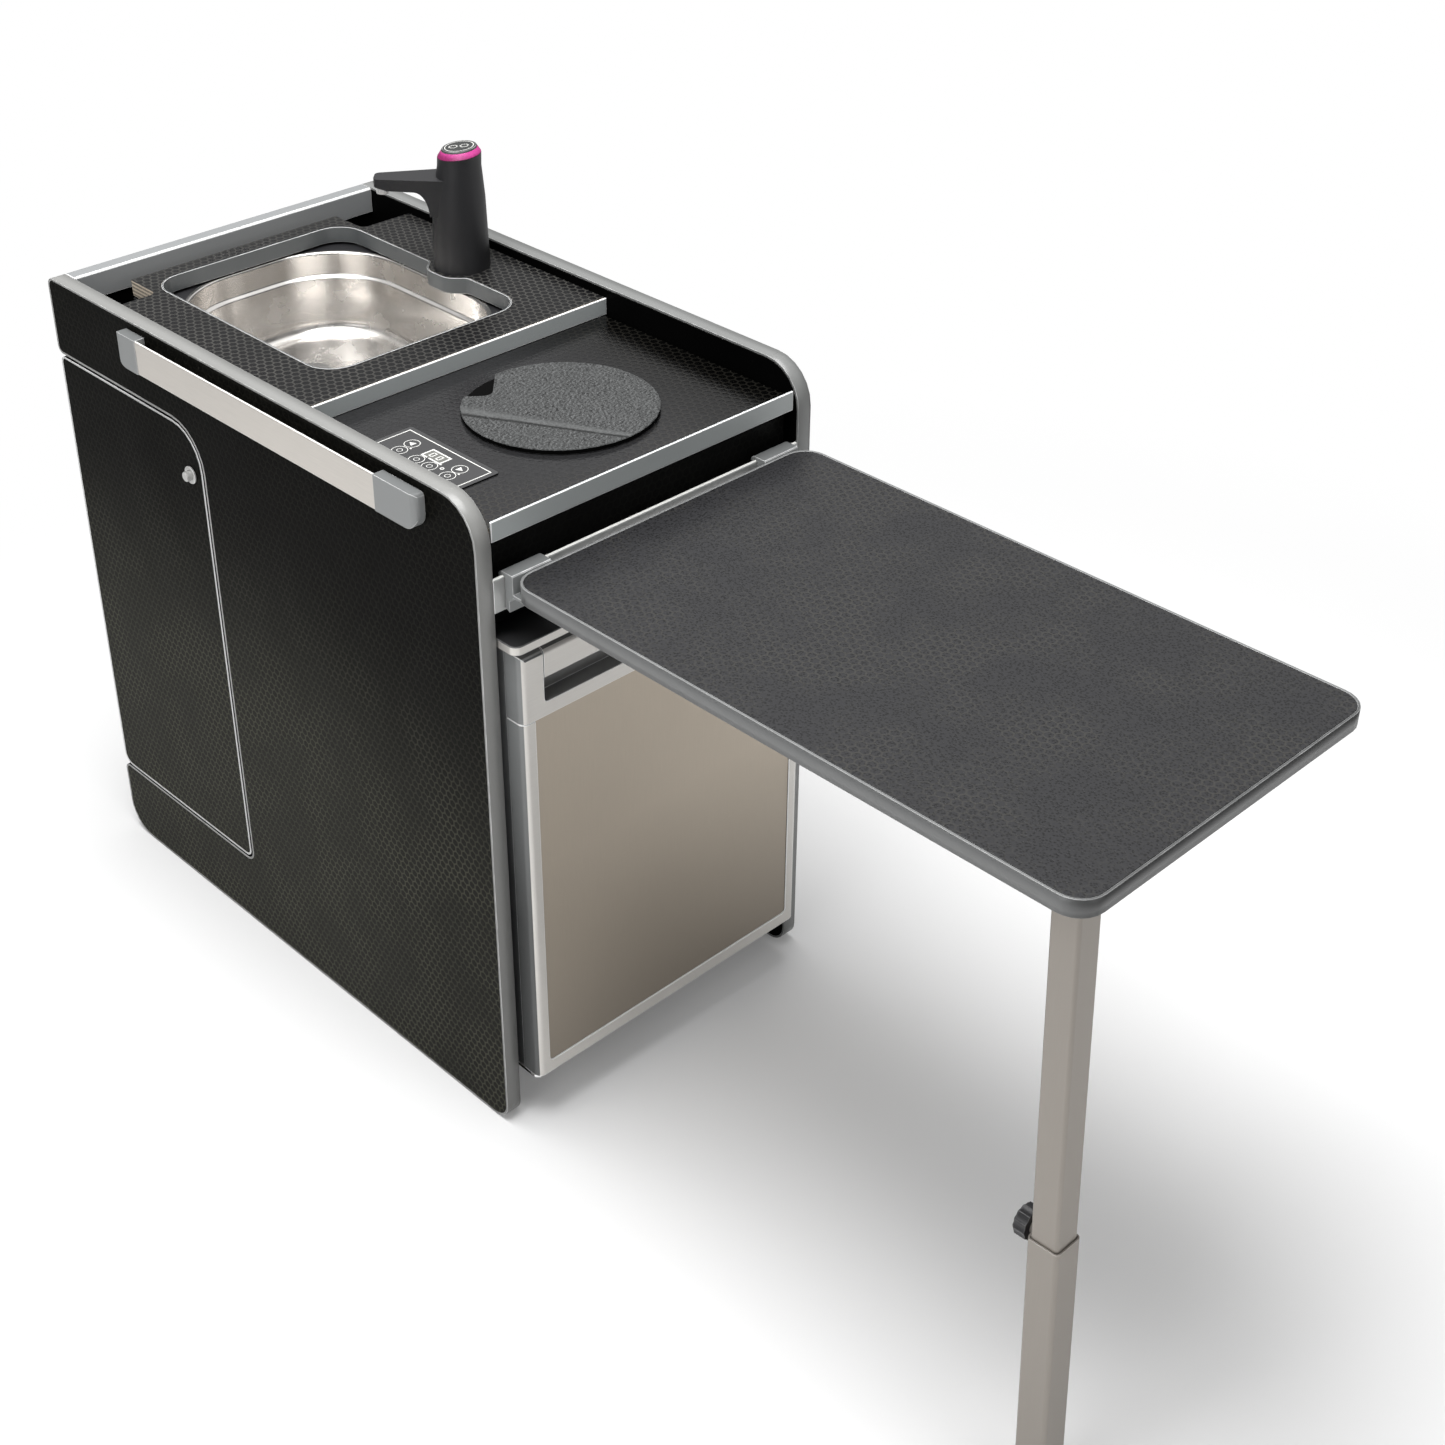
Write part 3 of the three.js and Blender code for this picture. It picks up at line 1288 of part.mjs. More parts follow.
tableHook('table_bracket_far', table_right - hook_inset_far - hook_width);

// Leg frame: its origin is on the table's underside over the tube's middle, and it leans outwards
const leg_half = leg_tube_size / 2;
const leg_x = table_left + leg_inset + leg_half;
const leg_y = table_front + leg_inset + leg_half;
const leg_lean = -leg_splay * degree;
function inLegFrame(form) {
  const mesh_data = form.getMesh();
  const geometry = new THREE.BufferGeometry();
  geometry.setAttribute('position', new THREE.Float32BufferAttribute(mesh_data.vertProperties, 3));
  geometry.setIndex(new THREE.Uint32BufferAttribute(mesh_data.triVerts, 1));
  geometry.rotateX(leg_lean);
  geometry.translate(leg_x, leg_y, table_bottom);
  return solid(geometry);
}
const leg_axis_x = leg_half + leg_hinge_radius + leg_hinge_gap;
const knuckle_high = -leg_plate_thickness / 2;
piece('leg_hinge_bracket', join(
  block(leg_x + leg_axis_x - leg_hinge_radius / 2, leg_x + leg_axis_x + leg_plate_length,
    leg_y - leg_plate_width / 2, leg_y + leg_plate_width / 2, table_bottom - leg_plate_thickness, table_bottom),
  inLegFrame(join(
    block(leg_axis_x - leg_hinge_radius, leg_axis_x + leg_hinge_radius, -leg_knuckle_half, leg_knuckle_half,
      -leg_hinge_drop, knuckle_high),
    rod(leg_axis_x, -leg_hinge_drop, leg_hinge_radius, -leg_knuckle_half, leg_knuckle_half, 'XZ', small_sides),
    rod(leg_axis_x, -leg_hinge_drop, leg_hinge_pin, -leg_ear_half, leg_ear_half, 'XZ', small_sides),
  )),
), steel(), table_group);

const leg_group = group_of('leg', table_group);
leg_group.position.set(leg_x, leg_y, table_bottom);
leg_group.rotation.x = leg_lean;
const tubeCorners = (half, radius) => rectangle(-half, -half, half, half, radius);
const tube_top = -leg_tube_top_gap;
const tube_bottom = tube_top - leg_tube_length;
const ears = [-1, 1].map((side) => {
  const low = side < 0 ? -leg_ear_half : leg_knuckle_half + fit_gap;
  const high = side < 0 ? -leg_knuckle_half - fit_gap : leg_ear_half;
  return join(
    rod(leg_axis_x, -leg_hinge_drop, leg_hinge_radius, low, high, 'XZ', small_sides),
    block(leg_half - leg_tube_wall / 2, leg_axis_x, low, high,
      -leg_hinge_drop - leg_hinge_radius, -leg_hinge_drop + leg_hinge_radius / 2),
  );
});
piece('leg_tube', cut(
  join(
    cut(prism(roundedOutline(tubeCorners(leg_half, leg_tube_radius)), tube_bottom, tube_top),
      prism(roundedOutline(tubeCorners(leg_half, leg_tube_radius), leg_tube_wall),
        tube_bottom - overrun, tube_top + overrun)),
    ...ears,
  ),
  rod(leg_axis_x, -leg_hinge_drop, leg_hinge_pin + leg_hinge_gap, -leg_half, leg_half, 'XZ', small_sides),
), aluminium(), leg_group);

// Sleeve sliding on the tube, its rubber foot and the clamp knob on the side towards the pod
const sleeve_group = group_of('leg_sleeve_group', leg_group);
const sleeve_inner = leg_half + leg_sleeve_clearance;
const sleeve_half = sleeve_inner + leg_sleeve_wall;
const sleeve_top = -leg_sleeve_top;
const floor_reach = table_bottom / Math.cos(leg_lean);
const sole_top = -floor_reach + foot_sole;
const clamp_face = sleeve_half + clamp_boss;
piece('leg_sleeve', cut(
  join(
    cut(prism(roundedOutline(tubeCorners(sleeve_half, leg_sleeve_radius)), sole_top + fit_gap, sleeve_top),
      prism(roundedOutline(tubeCorners(sleeve_half, leg_sleeve_radius), leg_sleeve_wall),
        sole_top - overrun, sleeve_top + overrun)),
    prism(roundedOutline(rectangle(-clamp_tab_width / 2, sleeve_top - clamp_tab_height,
      clamp_tab_width / 2, sleeve_top + clamp_tab_height, clamp_tab_width / 4)),
    sleeve_inner, sleeve_half, 'XZ'),
    rod(0, sleeve_top, clamp_boss_radius, sleeve_half - leg_sleeve_wall / 2, clamp_face, 'XZ', small_sides),
  ),
  rod(0, sleeve_top, knob_stud_radius + knob_stud_clearance, leg_half, clamp_face + overrun, 'XZ', small_sides),
), aluminium(), sleeve_group);
const foot_half = sleeve_half + fit_gap + foot_wall;
const floor_cut = new THREE.BoxGeometry(leg_sleeve_top, leg_sleeve_top, leg_sleeve_top);
floor_cut.translate(0, 0, -leg_sleeve_top / 2 - table_bottom);
floor_cut.rotateX(-leg_lean);
piece('leg_foot', cut(
  prism(roundedOutline(tubeCorners(foot_half, leg_sleeve_radius + foot_wall)),
    -floor_reach - overrun, -floor_reach + foot_height),
  prism(roundedOutline(tubeCorners(sleeve_half + fit_gap, leg_sleeve_radius + fit_gap)),
    sole_top, -floor_reach + foot_height + overrun),
  solid(floor_cut),
), rubber(), sleeve_group);

// Clamp knob: a lobed grip on a stud that presses on the tube
const clamp_group = group_of('leg_clamp_group', sleeve_group);
const lobed = (inset) => {
  const points = [];
  const count = knob_lobes * 4;
  for (let i = 0; i < count; i += 1) {
    const angle = (2 * Math.PI * i) / count;
    const radius = knob_radius - inset - (knob_lobe_depth / 2) * (1 - Math.cos(angle * knob_lobes));
    points.push(new THREE.Vector2(radius * Math.cos(angle), sleeve_top + radius * Math.sin(angle)));
  }
  return points;
};
const knob_low = clamp_face + fit_gap;
const knob_high = knob_low + knob_length;
piece('leg_clamp_knob', join(
  prism(lobed(0), knob_low, knob_high - knob_chamfer, 'XZ'),
  prism(lobed(knob_chamfer), knob_low, knob_high, 'XZ'),
  rod(0, sleeve_top, knob_stud_radius, leg_half + fit_gap, knob_high - knob_chamfer, 'XZ', small_sides),
), black_plastic(), clamp_group);

// The origin is under the middle of the whole object, on the floor
pod.updateMatrixWorld(true);
const extent = new THREE.Box3().setFromObject(pod, true);
const middle = extent.getCenter(new THREE.Vector3());
pod.position.set(-middle.x, -middle.y, -extent.min.z);

export default pod;
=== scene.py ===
"""Dresses the campervan kitchen pod in its finishes and sets it in a plain white studio.

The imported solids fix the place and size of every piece. This script gives them rounded edges,
procedural finishes and the small details that the solids leave out. Lengths in the dataclasses are
in millimetres and in the pod's own axes: x from the middle between the side panels, y from the side
panels' front edges towards the back, z up from the floor. Shader trees count in metres.
"""

import json
import logging
import math
from dataclasses import dataclass, field
from enum import Enum
from typing import Callable, Mapping, Optional, Sequence

import bmesh
import bpy
from mathutils import Matrix, Vector


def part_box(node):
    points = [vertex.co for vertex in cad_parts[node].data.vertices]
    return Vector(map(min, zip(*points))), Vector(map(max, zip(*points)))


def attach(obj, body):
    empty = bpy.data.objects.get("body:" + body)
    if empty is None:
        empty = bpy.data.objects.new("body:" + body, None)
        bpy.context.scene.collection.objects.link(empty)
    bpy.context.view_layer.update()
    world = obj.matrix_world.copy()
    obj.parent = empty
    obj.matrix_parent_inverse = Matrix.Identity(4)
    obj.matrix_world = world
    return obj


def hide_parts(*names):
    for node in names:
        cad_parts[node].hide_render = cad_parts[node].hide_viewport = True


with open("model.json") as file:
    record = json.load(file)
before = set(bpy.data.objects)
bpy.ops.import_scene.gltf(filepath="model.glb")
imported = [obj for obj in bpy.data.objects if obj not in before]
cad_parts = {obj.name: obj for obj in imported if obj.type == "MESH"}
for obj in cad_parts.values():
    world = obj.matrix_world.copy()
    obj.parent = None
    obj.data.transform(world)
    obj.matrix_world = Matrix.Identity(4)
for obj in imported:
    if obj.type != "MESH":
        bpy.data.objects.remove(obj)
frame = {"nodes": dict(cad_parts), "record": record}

LOG = logging.getLogger("pod")
MM = 0.001
TRIM_OUTER = 217.0
MERGE_REACH = 0.01
FLAT_TURN = 0.6
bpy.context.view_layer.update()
Colour = tuple[float, float, float]
Point2 = tuple[float, float]
Point3 = tuple[float, float, float]
Level = tuple[float, float, float, float]
Form = bmesh.types.BMesh
Face = bmesh.types.BMFace
Chooser = Callable[[Face], int]


class Plane(Enum):
    """The two axes that carry a flat pattern."""

    XY = (0, 1)
    YZ = (1, 2)
    XZ = (0, 2)


class Axis(Enum):
    """One direction of the frame."""

    X = 0
    Y = 1
    Z = 2


class PodAxes:
    """Turns places in the pod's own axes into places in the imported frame."""

    def __init__(self) -> None:
        """Finds the pod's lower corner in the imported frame."""
        low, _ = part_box("near_panel_trim")
        self.origin = Vector((low.x + TRIM_OUTER * MM, low.y, low.z))

    def at(self, x: float, y: float, z: float = 0.0) -> Vector:
        """Gives a place in metres from one in millimetres."""
        return self.origin + Vector((x, y, z)) * MM

    def span(self, axis: Axis, *values: float) -> list[float]:
        """Gives places along one axis in metres from ones in millimetres."""
        return [self.origin[axis.value] + value * MM for value in values]


POD = PodAxes()


def srgb(red: int, green: int, blue: int) -> Colour:
    """Turns a colour as a screen shows it into the renderer's linear values.

    Args:
        red, green, blue: the levels, 0 to 255.

    Returns:
        The linear colour.
    """

    def linear(value: int) -> float:
        """Turns one level."""
        share = value / 255.0
        return share / 12.92 if share <= 0.04045 else ((share + 0.055) / 1.055) ** 2.4

    return (linear(red), linear(green), linear(blue))


# ---- node trees ----------------------------------------------------------------------------------


class Signal:
    """An output in a node tree; arithmetic on it adds Math nodes."""

    def __init__(self, tree: "Tree", socket: bpy.types.NodeSocket) -> None:
        """Holds a socket together with its tree."""
        self.tree, self.socket = tree, socket

    def __add__(self, other: object) -> "Signal":
        """Adds."""
        return self.tree.math("ADD", self, other)

    def __sub__(self, other: object) -> "Signal":
        """Subtracts."""
        return self.tree.math("SUBTRACT", self, other)

    def __rsub__(self, other: object) -> "Signal":
        """Subtracts from a number."""
        return self.tree.math("SUBTRACT", other, self)

    def __mul__(self, other: object) -> "Signal":
        """Multiplies."""
        return self.tree.math("MULTIPLY", self, other)

    def __truediv__(self, other: object) -> "Signal":
        """Divides."""
        return self.tree.math("DIVIDE", self, other)

    def __abs__(self) -> "Signal":
        """Drops the sign."""
        return self.tree.math("ABSOLUTE", self)


class Tree:
    """Adds and links nodes in one node tree."""

    def __init__(self, tree: bpy.types.NodeTree) -> None:
        """Holds the tree that the nodes go into."""
        self.tree = tree

    def add(self, kind: str, **settings: object) -> bpy.types.Node:
        """Adds a node.

        Args:
            kind: the node's type.
            settings: its properties by name.

        Returns:
            The node.
        """
        node = self.tree.nodes.new(kind)
        for name, value in settings.items():
            setattr(node, name, value)
        return node

    def feed(self, node: bpy.types.Node, inputs: Mapping[object, object]) -> None:
        """Links signals to a node's inputs and stores constants in them.

        Args:
            node: the node.
            inputs: what each input gets, by its name or number.
        """
        for key, source in inputs.items():
            target = node.inputs[key]
            if isinstance(source, Signal):
                self.tree.links.new(source.socket, target)
            else:
                target.default_value = (*source, 1.0) if target.type == "RGBA" else source

    def make(self, kind: str, inputs: Mapping[object, object], output: object = 0, **settings: object) -> Signal:
        """Adds a node with its inputs.

        Args:
            kind: the node's type.
            inputs: what each input gets, by its name or number.
            output: the name or number of the output that is wanted.
            settings: the node's properties by name.

        Returns:
            The signal of that output.
        """
        node = self.add(kind, **settings)
        self.feed(node, inputs)
        return Signal(self, node.outputs[output])

    def math(self, operation: str, *values: object, clamp: bool = False) -> Signal:
        """Adds a Math node over signals and numbers."""
        return self.make("ShaderNodeMath", dict(enumerate(values)), operation=operation, use_clamp=clamp)

    def mix(self, factor: object, a: object, b: object) -> Signal:
        """Mixes two colours."""
        return self.make("ShaderNodeMix", {0: factor, 6: a, 7: b}, 2, data_type="RGBA")

    def ramp(self, value: object, low: float, high: float, to_low: float = 0.0, to_high: float = 1.0,
             smooth: bool = True) -> Signal:
        """Maps a value from one range to another.

        Args:
            value: the value.
            low, high: the range that it comes from.
            to_low, to_high: the range that it goes to.
            smooth: whether it eases in and out.

        Returns:
            The mapped value, kept inside its range.
        """
        kind = "SMOOTHSTEP" if smooth else "LINEAR"
        return self.make("ShaderNodeMapRange", dict(enumerate((value, low, high, to_low, to_high))),
                         interpolation_type=kind)

    def noise(self, vector: Signal, scale: object, detail: float = 2.0, roughness: float = 0.5) -> Signal:
        """Adds a noise texture."""
        return self.make("ShaderNodeTexNoise",
                         {"Vector": vector, "Scale": scale, "Detail": detail, "Roughness": roughness})

    def pits(self, vector: Signal, scale: float) -> Signal:
        """Adds a Voronoi texture and gives the distance to its nearest point."""
        return self.make("ShaderNodeTexVoronoi", {"Vector": vector, "Scale": scale}, "Distance")

    def bump(self, height: Signal, distance: float, strength: float = 1.0, under: Optional[Signal] = None) -> Signal:
        """Turns a height in the range 0 to 1 into a normal.

        Args:
            height: the height.
            distance: what a height of 1 stands for, in metres.
            strength: how much of it shows.
            under: a normal that it is laid over.

        Returns:
            The normal.
        """
        inputs = {"Strength": strength, "Distance": distance, "Height": height}
        return self.make("ShaderNodeBump", inputs if under is None else {**inputs, "Normal": under})

    def move(self, operation: str, vector: Signal, by: Sequence[float]) -> Signal:
        """Applies a vector operation with a constant."""
        return self.make("ShaderNodeVectorMath", {0: vector, 1: by}, operation=operation)

    def split(self, vector: Signal) -> list[Signal]:
        """Splits a vector.

        Args:
            vector: the vector.

        Returns:
            Its x, y and z.
        """
        node = self.add("ShaderNodeSeparateXYZ")
        self.feed(node, {0: vector})
        return [Signal(self, output) for output in node.outputs]

    def distance(self, x: Signal, y: Signal, middle: Sequence[float]) -> Signal:
        """Measures how far a place is from an upright line.

        Args:
            x, y: the place.
            middle: where the line stands.

        Returns:
            The distance.
        """
        dx, dy = x - middle[0], y - middle[1]
        return self.math("SQRT", dx * dx + dy * dy)


class Group(Tree):
    """A node group with a signal for each of its inputs."""

    def __init__(self, name: str, kind: str, inputs: Mapping[str, str]) -> None:
        """Starts an empty group.

        Args:
            name: the group's name.
            kind: its tree's type.
            inputs: the kind of socket for each input's name.
        """
        super().__init__(bpy.data.node_groups.new(name, kind))
        for label, sort in inputs.items():
            self.tree.interface.new_socket(label, in_out="INPUT", socket_type="NodeSocket" + sort)
        start = self.add("NodeGroupInput")
        self.given = {label: Signal(self, start.outputs[label]) for label in inputs}

    def close(self, sort: str, **outputs: Signal) -> bpy.types.NodeTree:
        """Gives the group its outputs.

        Args:
            sort: the socket type of all of them.
            outputs: the signal of each output by its name.

        Returns:
            The group's tree.
        """
        for label in outputs:
            self.tree.interface.new_socket(label, in_out="OUTPUT", socket_type="NodeSocket" + sort)
        self.feed(self.add("NodeGroupOutput"), outputs)
        return self.tree


class Surface(Tree):
    """The tree of one material, with its main shader and the piece's own coordinates."""

    groups: dict[str, bpy.types.NodeTree] = {}

    def __init__(self, material: bpy.types.Material) -> None:
        """Finds the shader and the place on the piece.

        Args:
            material: the material that is dressed.
        """
        super().__init__(material.node_tree)
        self.shader = material.node_tree.nodes["Principled BSDF"]
        self.place = self.make("ShaderNodeTexCoord", {}, "Object")
        self.x, self.y, self.z = self.spot = self.split(self.place)

    def use(self, make: Callable[[], bpy.types.NodeTree], **inputs: object) -> dict[str, Signal]:
        """Adds a shared group, which is made on first use.

        Args:
            make: makes the group.
            inputs: what each of its inputs gets.

        Returns:
            Its outputs by name.
        """
        if make.__name__ not in self.groups:
            self.groups[make.__name__] = make()
        node = self.add("ShaderNodeGroup", node_tree=self.groups[make.__name__])
        self.feed(node, inputs)
        return {output.name: Signal(self, output) for output in node.outputs}


def hex_relief() -> bpy.types.NodeTree:
    """Makes a honeycomb of equal cells.

    Returns:
        The group; it gives a mask of the lines, and the crown and a shade of each cell.
    """
    tree = Group("HexRelief", "ShaderNodeTree", {"U": "Float", "V": "Float", "Pitch": "Float"})
    tall, ahead = math.sqrt(3.0), 400.0
    u, v = (tree.given[name] / tree.given["Pitch"] + ahead for name in "UV")

    def cell(shift_u: float, shift_v: float) -> tuple[Signal, Signal, Signal]:
        """Finds the cell of one of the two grids.

        Args:
            shift_u, shift_v: how far the grid is shifted.

        Returns:
            The place in the cell, from its middle, and the squared distance.
        """
        x = tree.math("MODULO", u - shift_u, 1.0) - 0.5
        y = tree.math("MODULO", v - shift_v, tall) - tall / 2
        return x, y, x * x + y * y

    ax, ay, a_length = cell(0.0, 0.0)
    bx, by, b_length = cell(0.5, tall / 2)
    pick = tree.math("LESS_THAN", a_length, b_length)
    x, y = bx + pick * (ax - bx), by + pick * (ay - by)
    wide = abs(x)
    inside = 0.5 - tree.math("MAXIMUM", wide * 0.5 + abs(y) * (tall / 2), wide)
    centre = tree.make("ShaderNodeCombineXYZ", {0: u - x, 1: v - y})
    shade = tree.make("ShaderNodeTexWhiteNoise", {"Vector": tree.move("SNAP", centre, (0.25, 0.25, 1.0))}, "Value",
                      noise_dimensions="2D")
    return tree.close("Float", Line=tree.ramp(inside, 0.04, 0.14, 1.0, 0.0), Crown=tree.ramp(inside, 0.0, 0.24),
                      Shade=shade)


def surface_grain() -> bpy.types.NodeTree:
    """Makes a fine grain over a slow cloudiness.

    Returns:
        The group; it gives a value for colour and gloss, and a height for bump.
    """
    tree = Group("SurfaceGrain", "ShaderNodeTree", {"Vector": "Vector", "Fine": "Float", "Slow": "Float"})
    fine = tree.noise(tree.given["Vector"], tree.given["Fine"], 3.0)
    slow = tree.noise(tree.given["Vector"], tree.given["Slow"], 4.0)
    return tree.close("Float", Value=tree.ramp(fine * 0.45 + slow * 0.55, 0.3, 0.7, smooth=False), Height=fine)


# ---- finishes ------------------------------------------------------------------------------------


@dataclass(frozen=True)
class Finish:
    """Base of every finish: a colour with fine grain, uneven gloss and a painted highlight along rounded edges.

    A painted shade darkens the colour downwards: the height where that is full, where it ends, and its share.
    """

    name: str
    colour: Colour
    roughness: float = 0.5
    metallic: float = 0.0
    specular: float = 0.5
    grain: float = 0.08
    grain_scale: float = 900.0
    cloud_scale: float = 9.0
    grain_relief: float = 0.00002
    # the next three fields set the painted highlight on rounded edges: how much lighter it is, its least share in
    # noisy patches, and the scale of the patches
    edge_highlight: float = 0.25
    edge_low: float = 0.35
    edge_scale: float = 60.0
    gloss_spread: float = 0.06
    # painted shade: darkens the colour downwards
    painted_shade: Optional[Point3] = None

    def material(self) -> bpy.types.Material:
        """Makes the material on first use.

        Returns:
            The material.
        """
        found = bpy.data.materials.get(self.name)
        if found is not None:
            return found
        made = bpy.data.materials.new(self.name)
        made.use_nodes = True
        made.diffuse_color = (*self.colour, 1.0)
        tree = Surface(made)
        tree.feed(tree.shader, {"Metallic": self.metallic, "Specular IOR Level": self.specular})
        self.dress(tree)
        return made

    def tone(self, factor: float) -> Colour:
        """Gives the colour times a factor."""
        return tuple(min(1.0, c * factor) for c in self.colour)

    def grained(self, tree: Surface, value: Signal) -> Signal:
        """Spreads the colour over a grain and darkens it with painted shade where the finish says so.

        Args:
            tree: the material's tree.
            value: the grain, 0 to 1.

        Returns:
            The colour.
        """
        base = tree.mix(value, self.tone(1.0 - self.grain), self.tone(1.0 + self.grain))
        return base if self.painted_shade is None else self.paint_shade(tree, base, self.painted_shade, Axis.Z)

    def paint_shade(self, tree: Surface, base: Signal, painted_shade: Point3, axis: Axis) -> Signal:
        """Paints shade: darkens a colour towards the low end of an axis.

        Args:
            tree: the material's tree.
            base: the colour so far.
            painted_shade: where the painted shade is full, where it ends, and its share.
            axis: the axis that it follows.

        Returns:
            The darkened colour.
        """
        # painted shade towards the low end of the axis
        depth = tree.ramp(tree.spot[axis.value], *POD.span(axis, *painted_shade[:2]), painted_shade[2], 0.0, smooth=False)
        return tree.mix(depth, base, self.tone(0.35))

    def fine_grain(self, tree: Surface) -> dict[str, Signal]:
        """Adds the shared grain to a tree."""
        return tree.use(surface_grain, Vector=tree.place, Fine=self.grain_scale, Slow=self.cloud_scale)

    def link(self, tree: Surface, base: Signal, gloss: Signal, normal: Signal, span: Point2 = (0.0, 1.0)) -> None:
        """Links the looks into the shader, with a painted highlight: the colour lightened along rounded edges.

        Args:
            tree: the material's tree.
            base: the colour.
            gloss: what the roughness follows.
            normal: the normal.
            span: the values of gloss for the least and the greatest roughness.
        """
        # painted highlight: the faces of rounded edges are lightened, in noisy patches
        edge_highlight_mask = tree.make("ShaderNodeAttribute", {}, "Fac", attribute_name="edge_highlight_mask")
        patch = tree.ramp(tree.noise(tree.place, self.edge_scale, 3.0), 0.35, 0.7, self.edge_low, 1.0)
        light = tuple(min(1.0, c + (1.0 - c) * self.edge_highlight) for c in self.colour)
        least, most = max(0.02, self.roughness - self.gloss_spread), min(1.0, self.roughness + self.gloss_spread)
        tree.feed(tree.shader, {"Base Color": tree.mix(edge_highlight_mask * patch, base, light), "Normal": normal,
                                "Roughness": tree.ramp(gloss, *span, least, most, smooth=False)})

    def dress(self, tree: Surface) -> None:
        """Adds the plain grain.

        Args:
            tree: the material's tree.
        """
        grain = self.fine_grain(tree)
        self.link(tree, self.grained(tree, grain["Value"]), grain["Value"],
                  tree.bump(grain["Height"], self.grain_relief))


@dataclass(frozen=True)
class HexLaminate(Finish):
    """Dark laminate pressed with a fine honeycomb and a pebble grain.

    Painted shade can darken it and fade its pattern between two heights, darken it between two depths
    from the front, and darken it between two widths by a share; the pattern can calm down inside a
    circle (its middle and radius).
    """

    edge_highlight: float = 0.02
    line_colour: Colour = (0.05, 0.05, 0.05)
    plane: Plane = Plane.XY
    pitch: float = 9.2
    relief: float = 0.00012
    line_strength: float = 0.5
    # painted shade: towards the top, towards the front, and across a width
    shaded_top: Optional[Point2] = None
    shaded_front: Optional[Point2] = None
    calm: Optional[Point3] = None
    shade: Optional[Point3] = None
    pebble: float = 2.0
    pebble_share: float = 0.5
    patch_scale: float = 13.0
    patch_low: float = 0.25
    speck_scale: float = 640.0
    speck_lift: float = 2.6
    sparkle_scale: float = 1500.0
    # how dark the painted shade at the top and the front is, as a share of the colour
    dark: float = 0.08

    def dress(self, tree: Surface) -> None:
        """Adds the honeycomb and the pebbles to the plain grain.

        Args:
            tree: the material's tree.
        """
        first, second = self.plane.value
        cells = tree.use(hex_relief, U=tree.spot[first], V=tree.spot[second], Pitch=self.pitch * MM)
        grain = self.fine_grain(tree)
        patch = tree.ramp(tree.noise(tree.place, self.patch_scale, 3.0), 0.35, 0.65, self.patch_low, 1.0)
        lines = cells["Line"] * patch * self.line_strength
        speck = (tree.ramp(tree.pits(tree.place, 1.0 / (self.pebble * MM)), 0.1, 0.7) * 0.6
                 + tree.noise(tree.place, self.speck_scale, 3.0, 0.7) * 0.6)
        speck = tree.ramp(speck, 0.35, 0.75, smooth=False)
        base = tree.mix(cells["Shade"] * 0.4, self.grained(tree, grain["Value"]), self.tone(1.5))
        base = tree.mix(speck * self.pebble_share, base, self.tone(self.speck_lift))
        # painted shade towards the top: darker colour, fainter lines
        if self.shaded_top is not None:
            height = tree.ramp(tree.z, *POD.span(Axis.Z, *self.shaded_top)) * 0.9
            lines = lines * (1.0 - height)
            base = tree.mix(height, base, self.tone(self.dark))
        # painted shade towards the front
        if self.shaded_front is not None:
            roll = tree.ramp(tree.y, *POD.span(Axis.Y, *self.shaded_front), 1.0, 0.0)
            base = tree.mix(roll * 0.4, base, self.tone(self.dark))
        if self.calm is not None:
            x, y, reach = self.calm
            away = tree.distance(tree.x, tree.y, POD.at(x, y))
            lines = lines * tree.ramp(away, reach * 0.8 * MM, reach * 1.2 * MM, 0.12, 1.0)
        # painted shade across a width: darker colour, fainter lines
        if self.shade is not None:
            low, high, share = self.shade
            far = tree.ramp(tree.x, *POD.span(Axis.X, low, high), 0.0, share)
            base = tree.mix(far, base, self.tone(0.05))
            lines = lines * (1.0 - far * 0.6)
        sparkle = tree.ramp(tree.noise(tree.place, self.sparkle_scale, 1.0), 0.66, 0.74)
        base = tree.mix(sparkle * 0.5, base, self.line_colour)
        fine = tree.bump(speck, self.grain_relief)
        self.link(tree, tree.mix(lines, base, self.line_colour), grain["Value"],
                  tree.bump(cells["Crown"], self.relief, 0.8, fine))


@dataclass(frozen=True)
class Brushed(Finish):
    """Metal with a grain drawn out along one axis."""

    along: Axis = Axis.Z
    stretch: float = 60.0
    streak_scale: float = 28.0
    cloud_scale: float = 7.0
    relief: float = 0.00001

    def dress(self, tree: Surface) -> None:
        """Adds the drawn-out grain to the colour, gloss and normal.

        Args:
            tree: the material's tree.
        """
        squeeze = [self.stretch] * 3
        squeeze[self.along.value] = 1.0
        streak = tree.noise(tree.move("MULTIPLY", tree.place, squeeze), self.streak_scale, 5.0, 0.65)
        cloud = tree.noise(tree.place, self.cloud_scale, 3.0)
        value = tree.ramp(streak * 0.7 + cloud * 0.3, 0.3, 0.7, smooth=False)
        self.link(tree, self.grained(tree, value), value, tree.bump(streak, self.relief))


@dataclass(frozen=True)
class PressedSteel(Finish):
    """Polished pressed sheet with soft upright bands and a slightly wavy face."""

    band_scale: float = 11.0
    band_stretch: float = 0.2
    band_tone: float = 0.84
    cloud_scale: float = 34.0
    wave_scale: float = 17.0
    wave: float = 0.0003

    def dress(self, tree: Surface) -> None:
        """Adds the bands to the colour and the waves to the normal.

        Args:
            tree: the material's tree.
        """
        upright = tree.move("MULTIPLY", tree.place, (1.0, 1.0, self.band_stretch))
        band = tree.ramp(tree.noise(upright, self.band_scale, 2.0, 0.4), 0.38, 0.6)
        fine = tree.bump(tree.noise(tree.place, self.grain_scale, 2.0), self.grain_relief)
        normal = tree.bump(tree.noise(tree.place, self.wave_scale, 1.0), self.wave, 1.0, fine)
        base = tree.mix(band, self.tone(self.band_tone), self.colour)
        self.link(tree, base, tree.noise(tree.place, self.cloud_scale, 3.0), normal, (0.3, 0.7))


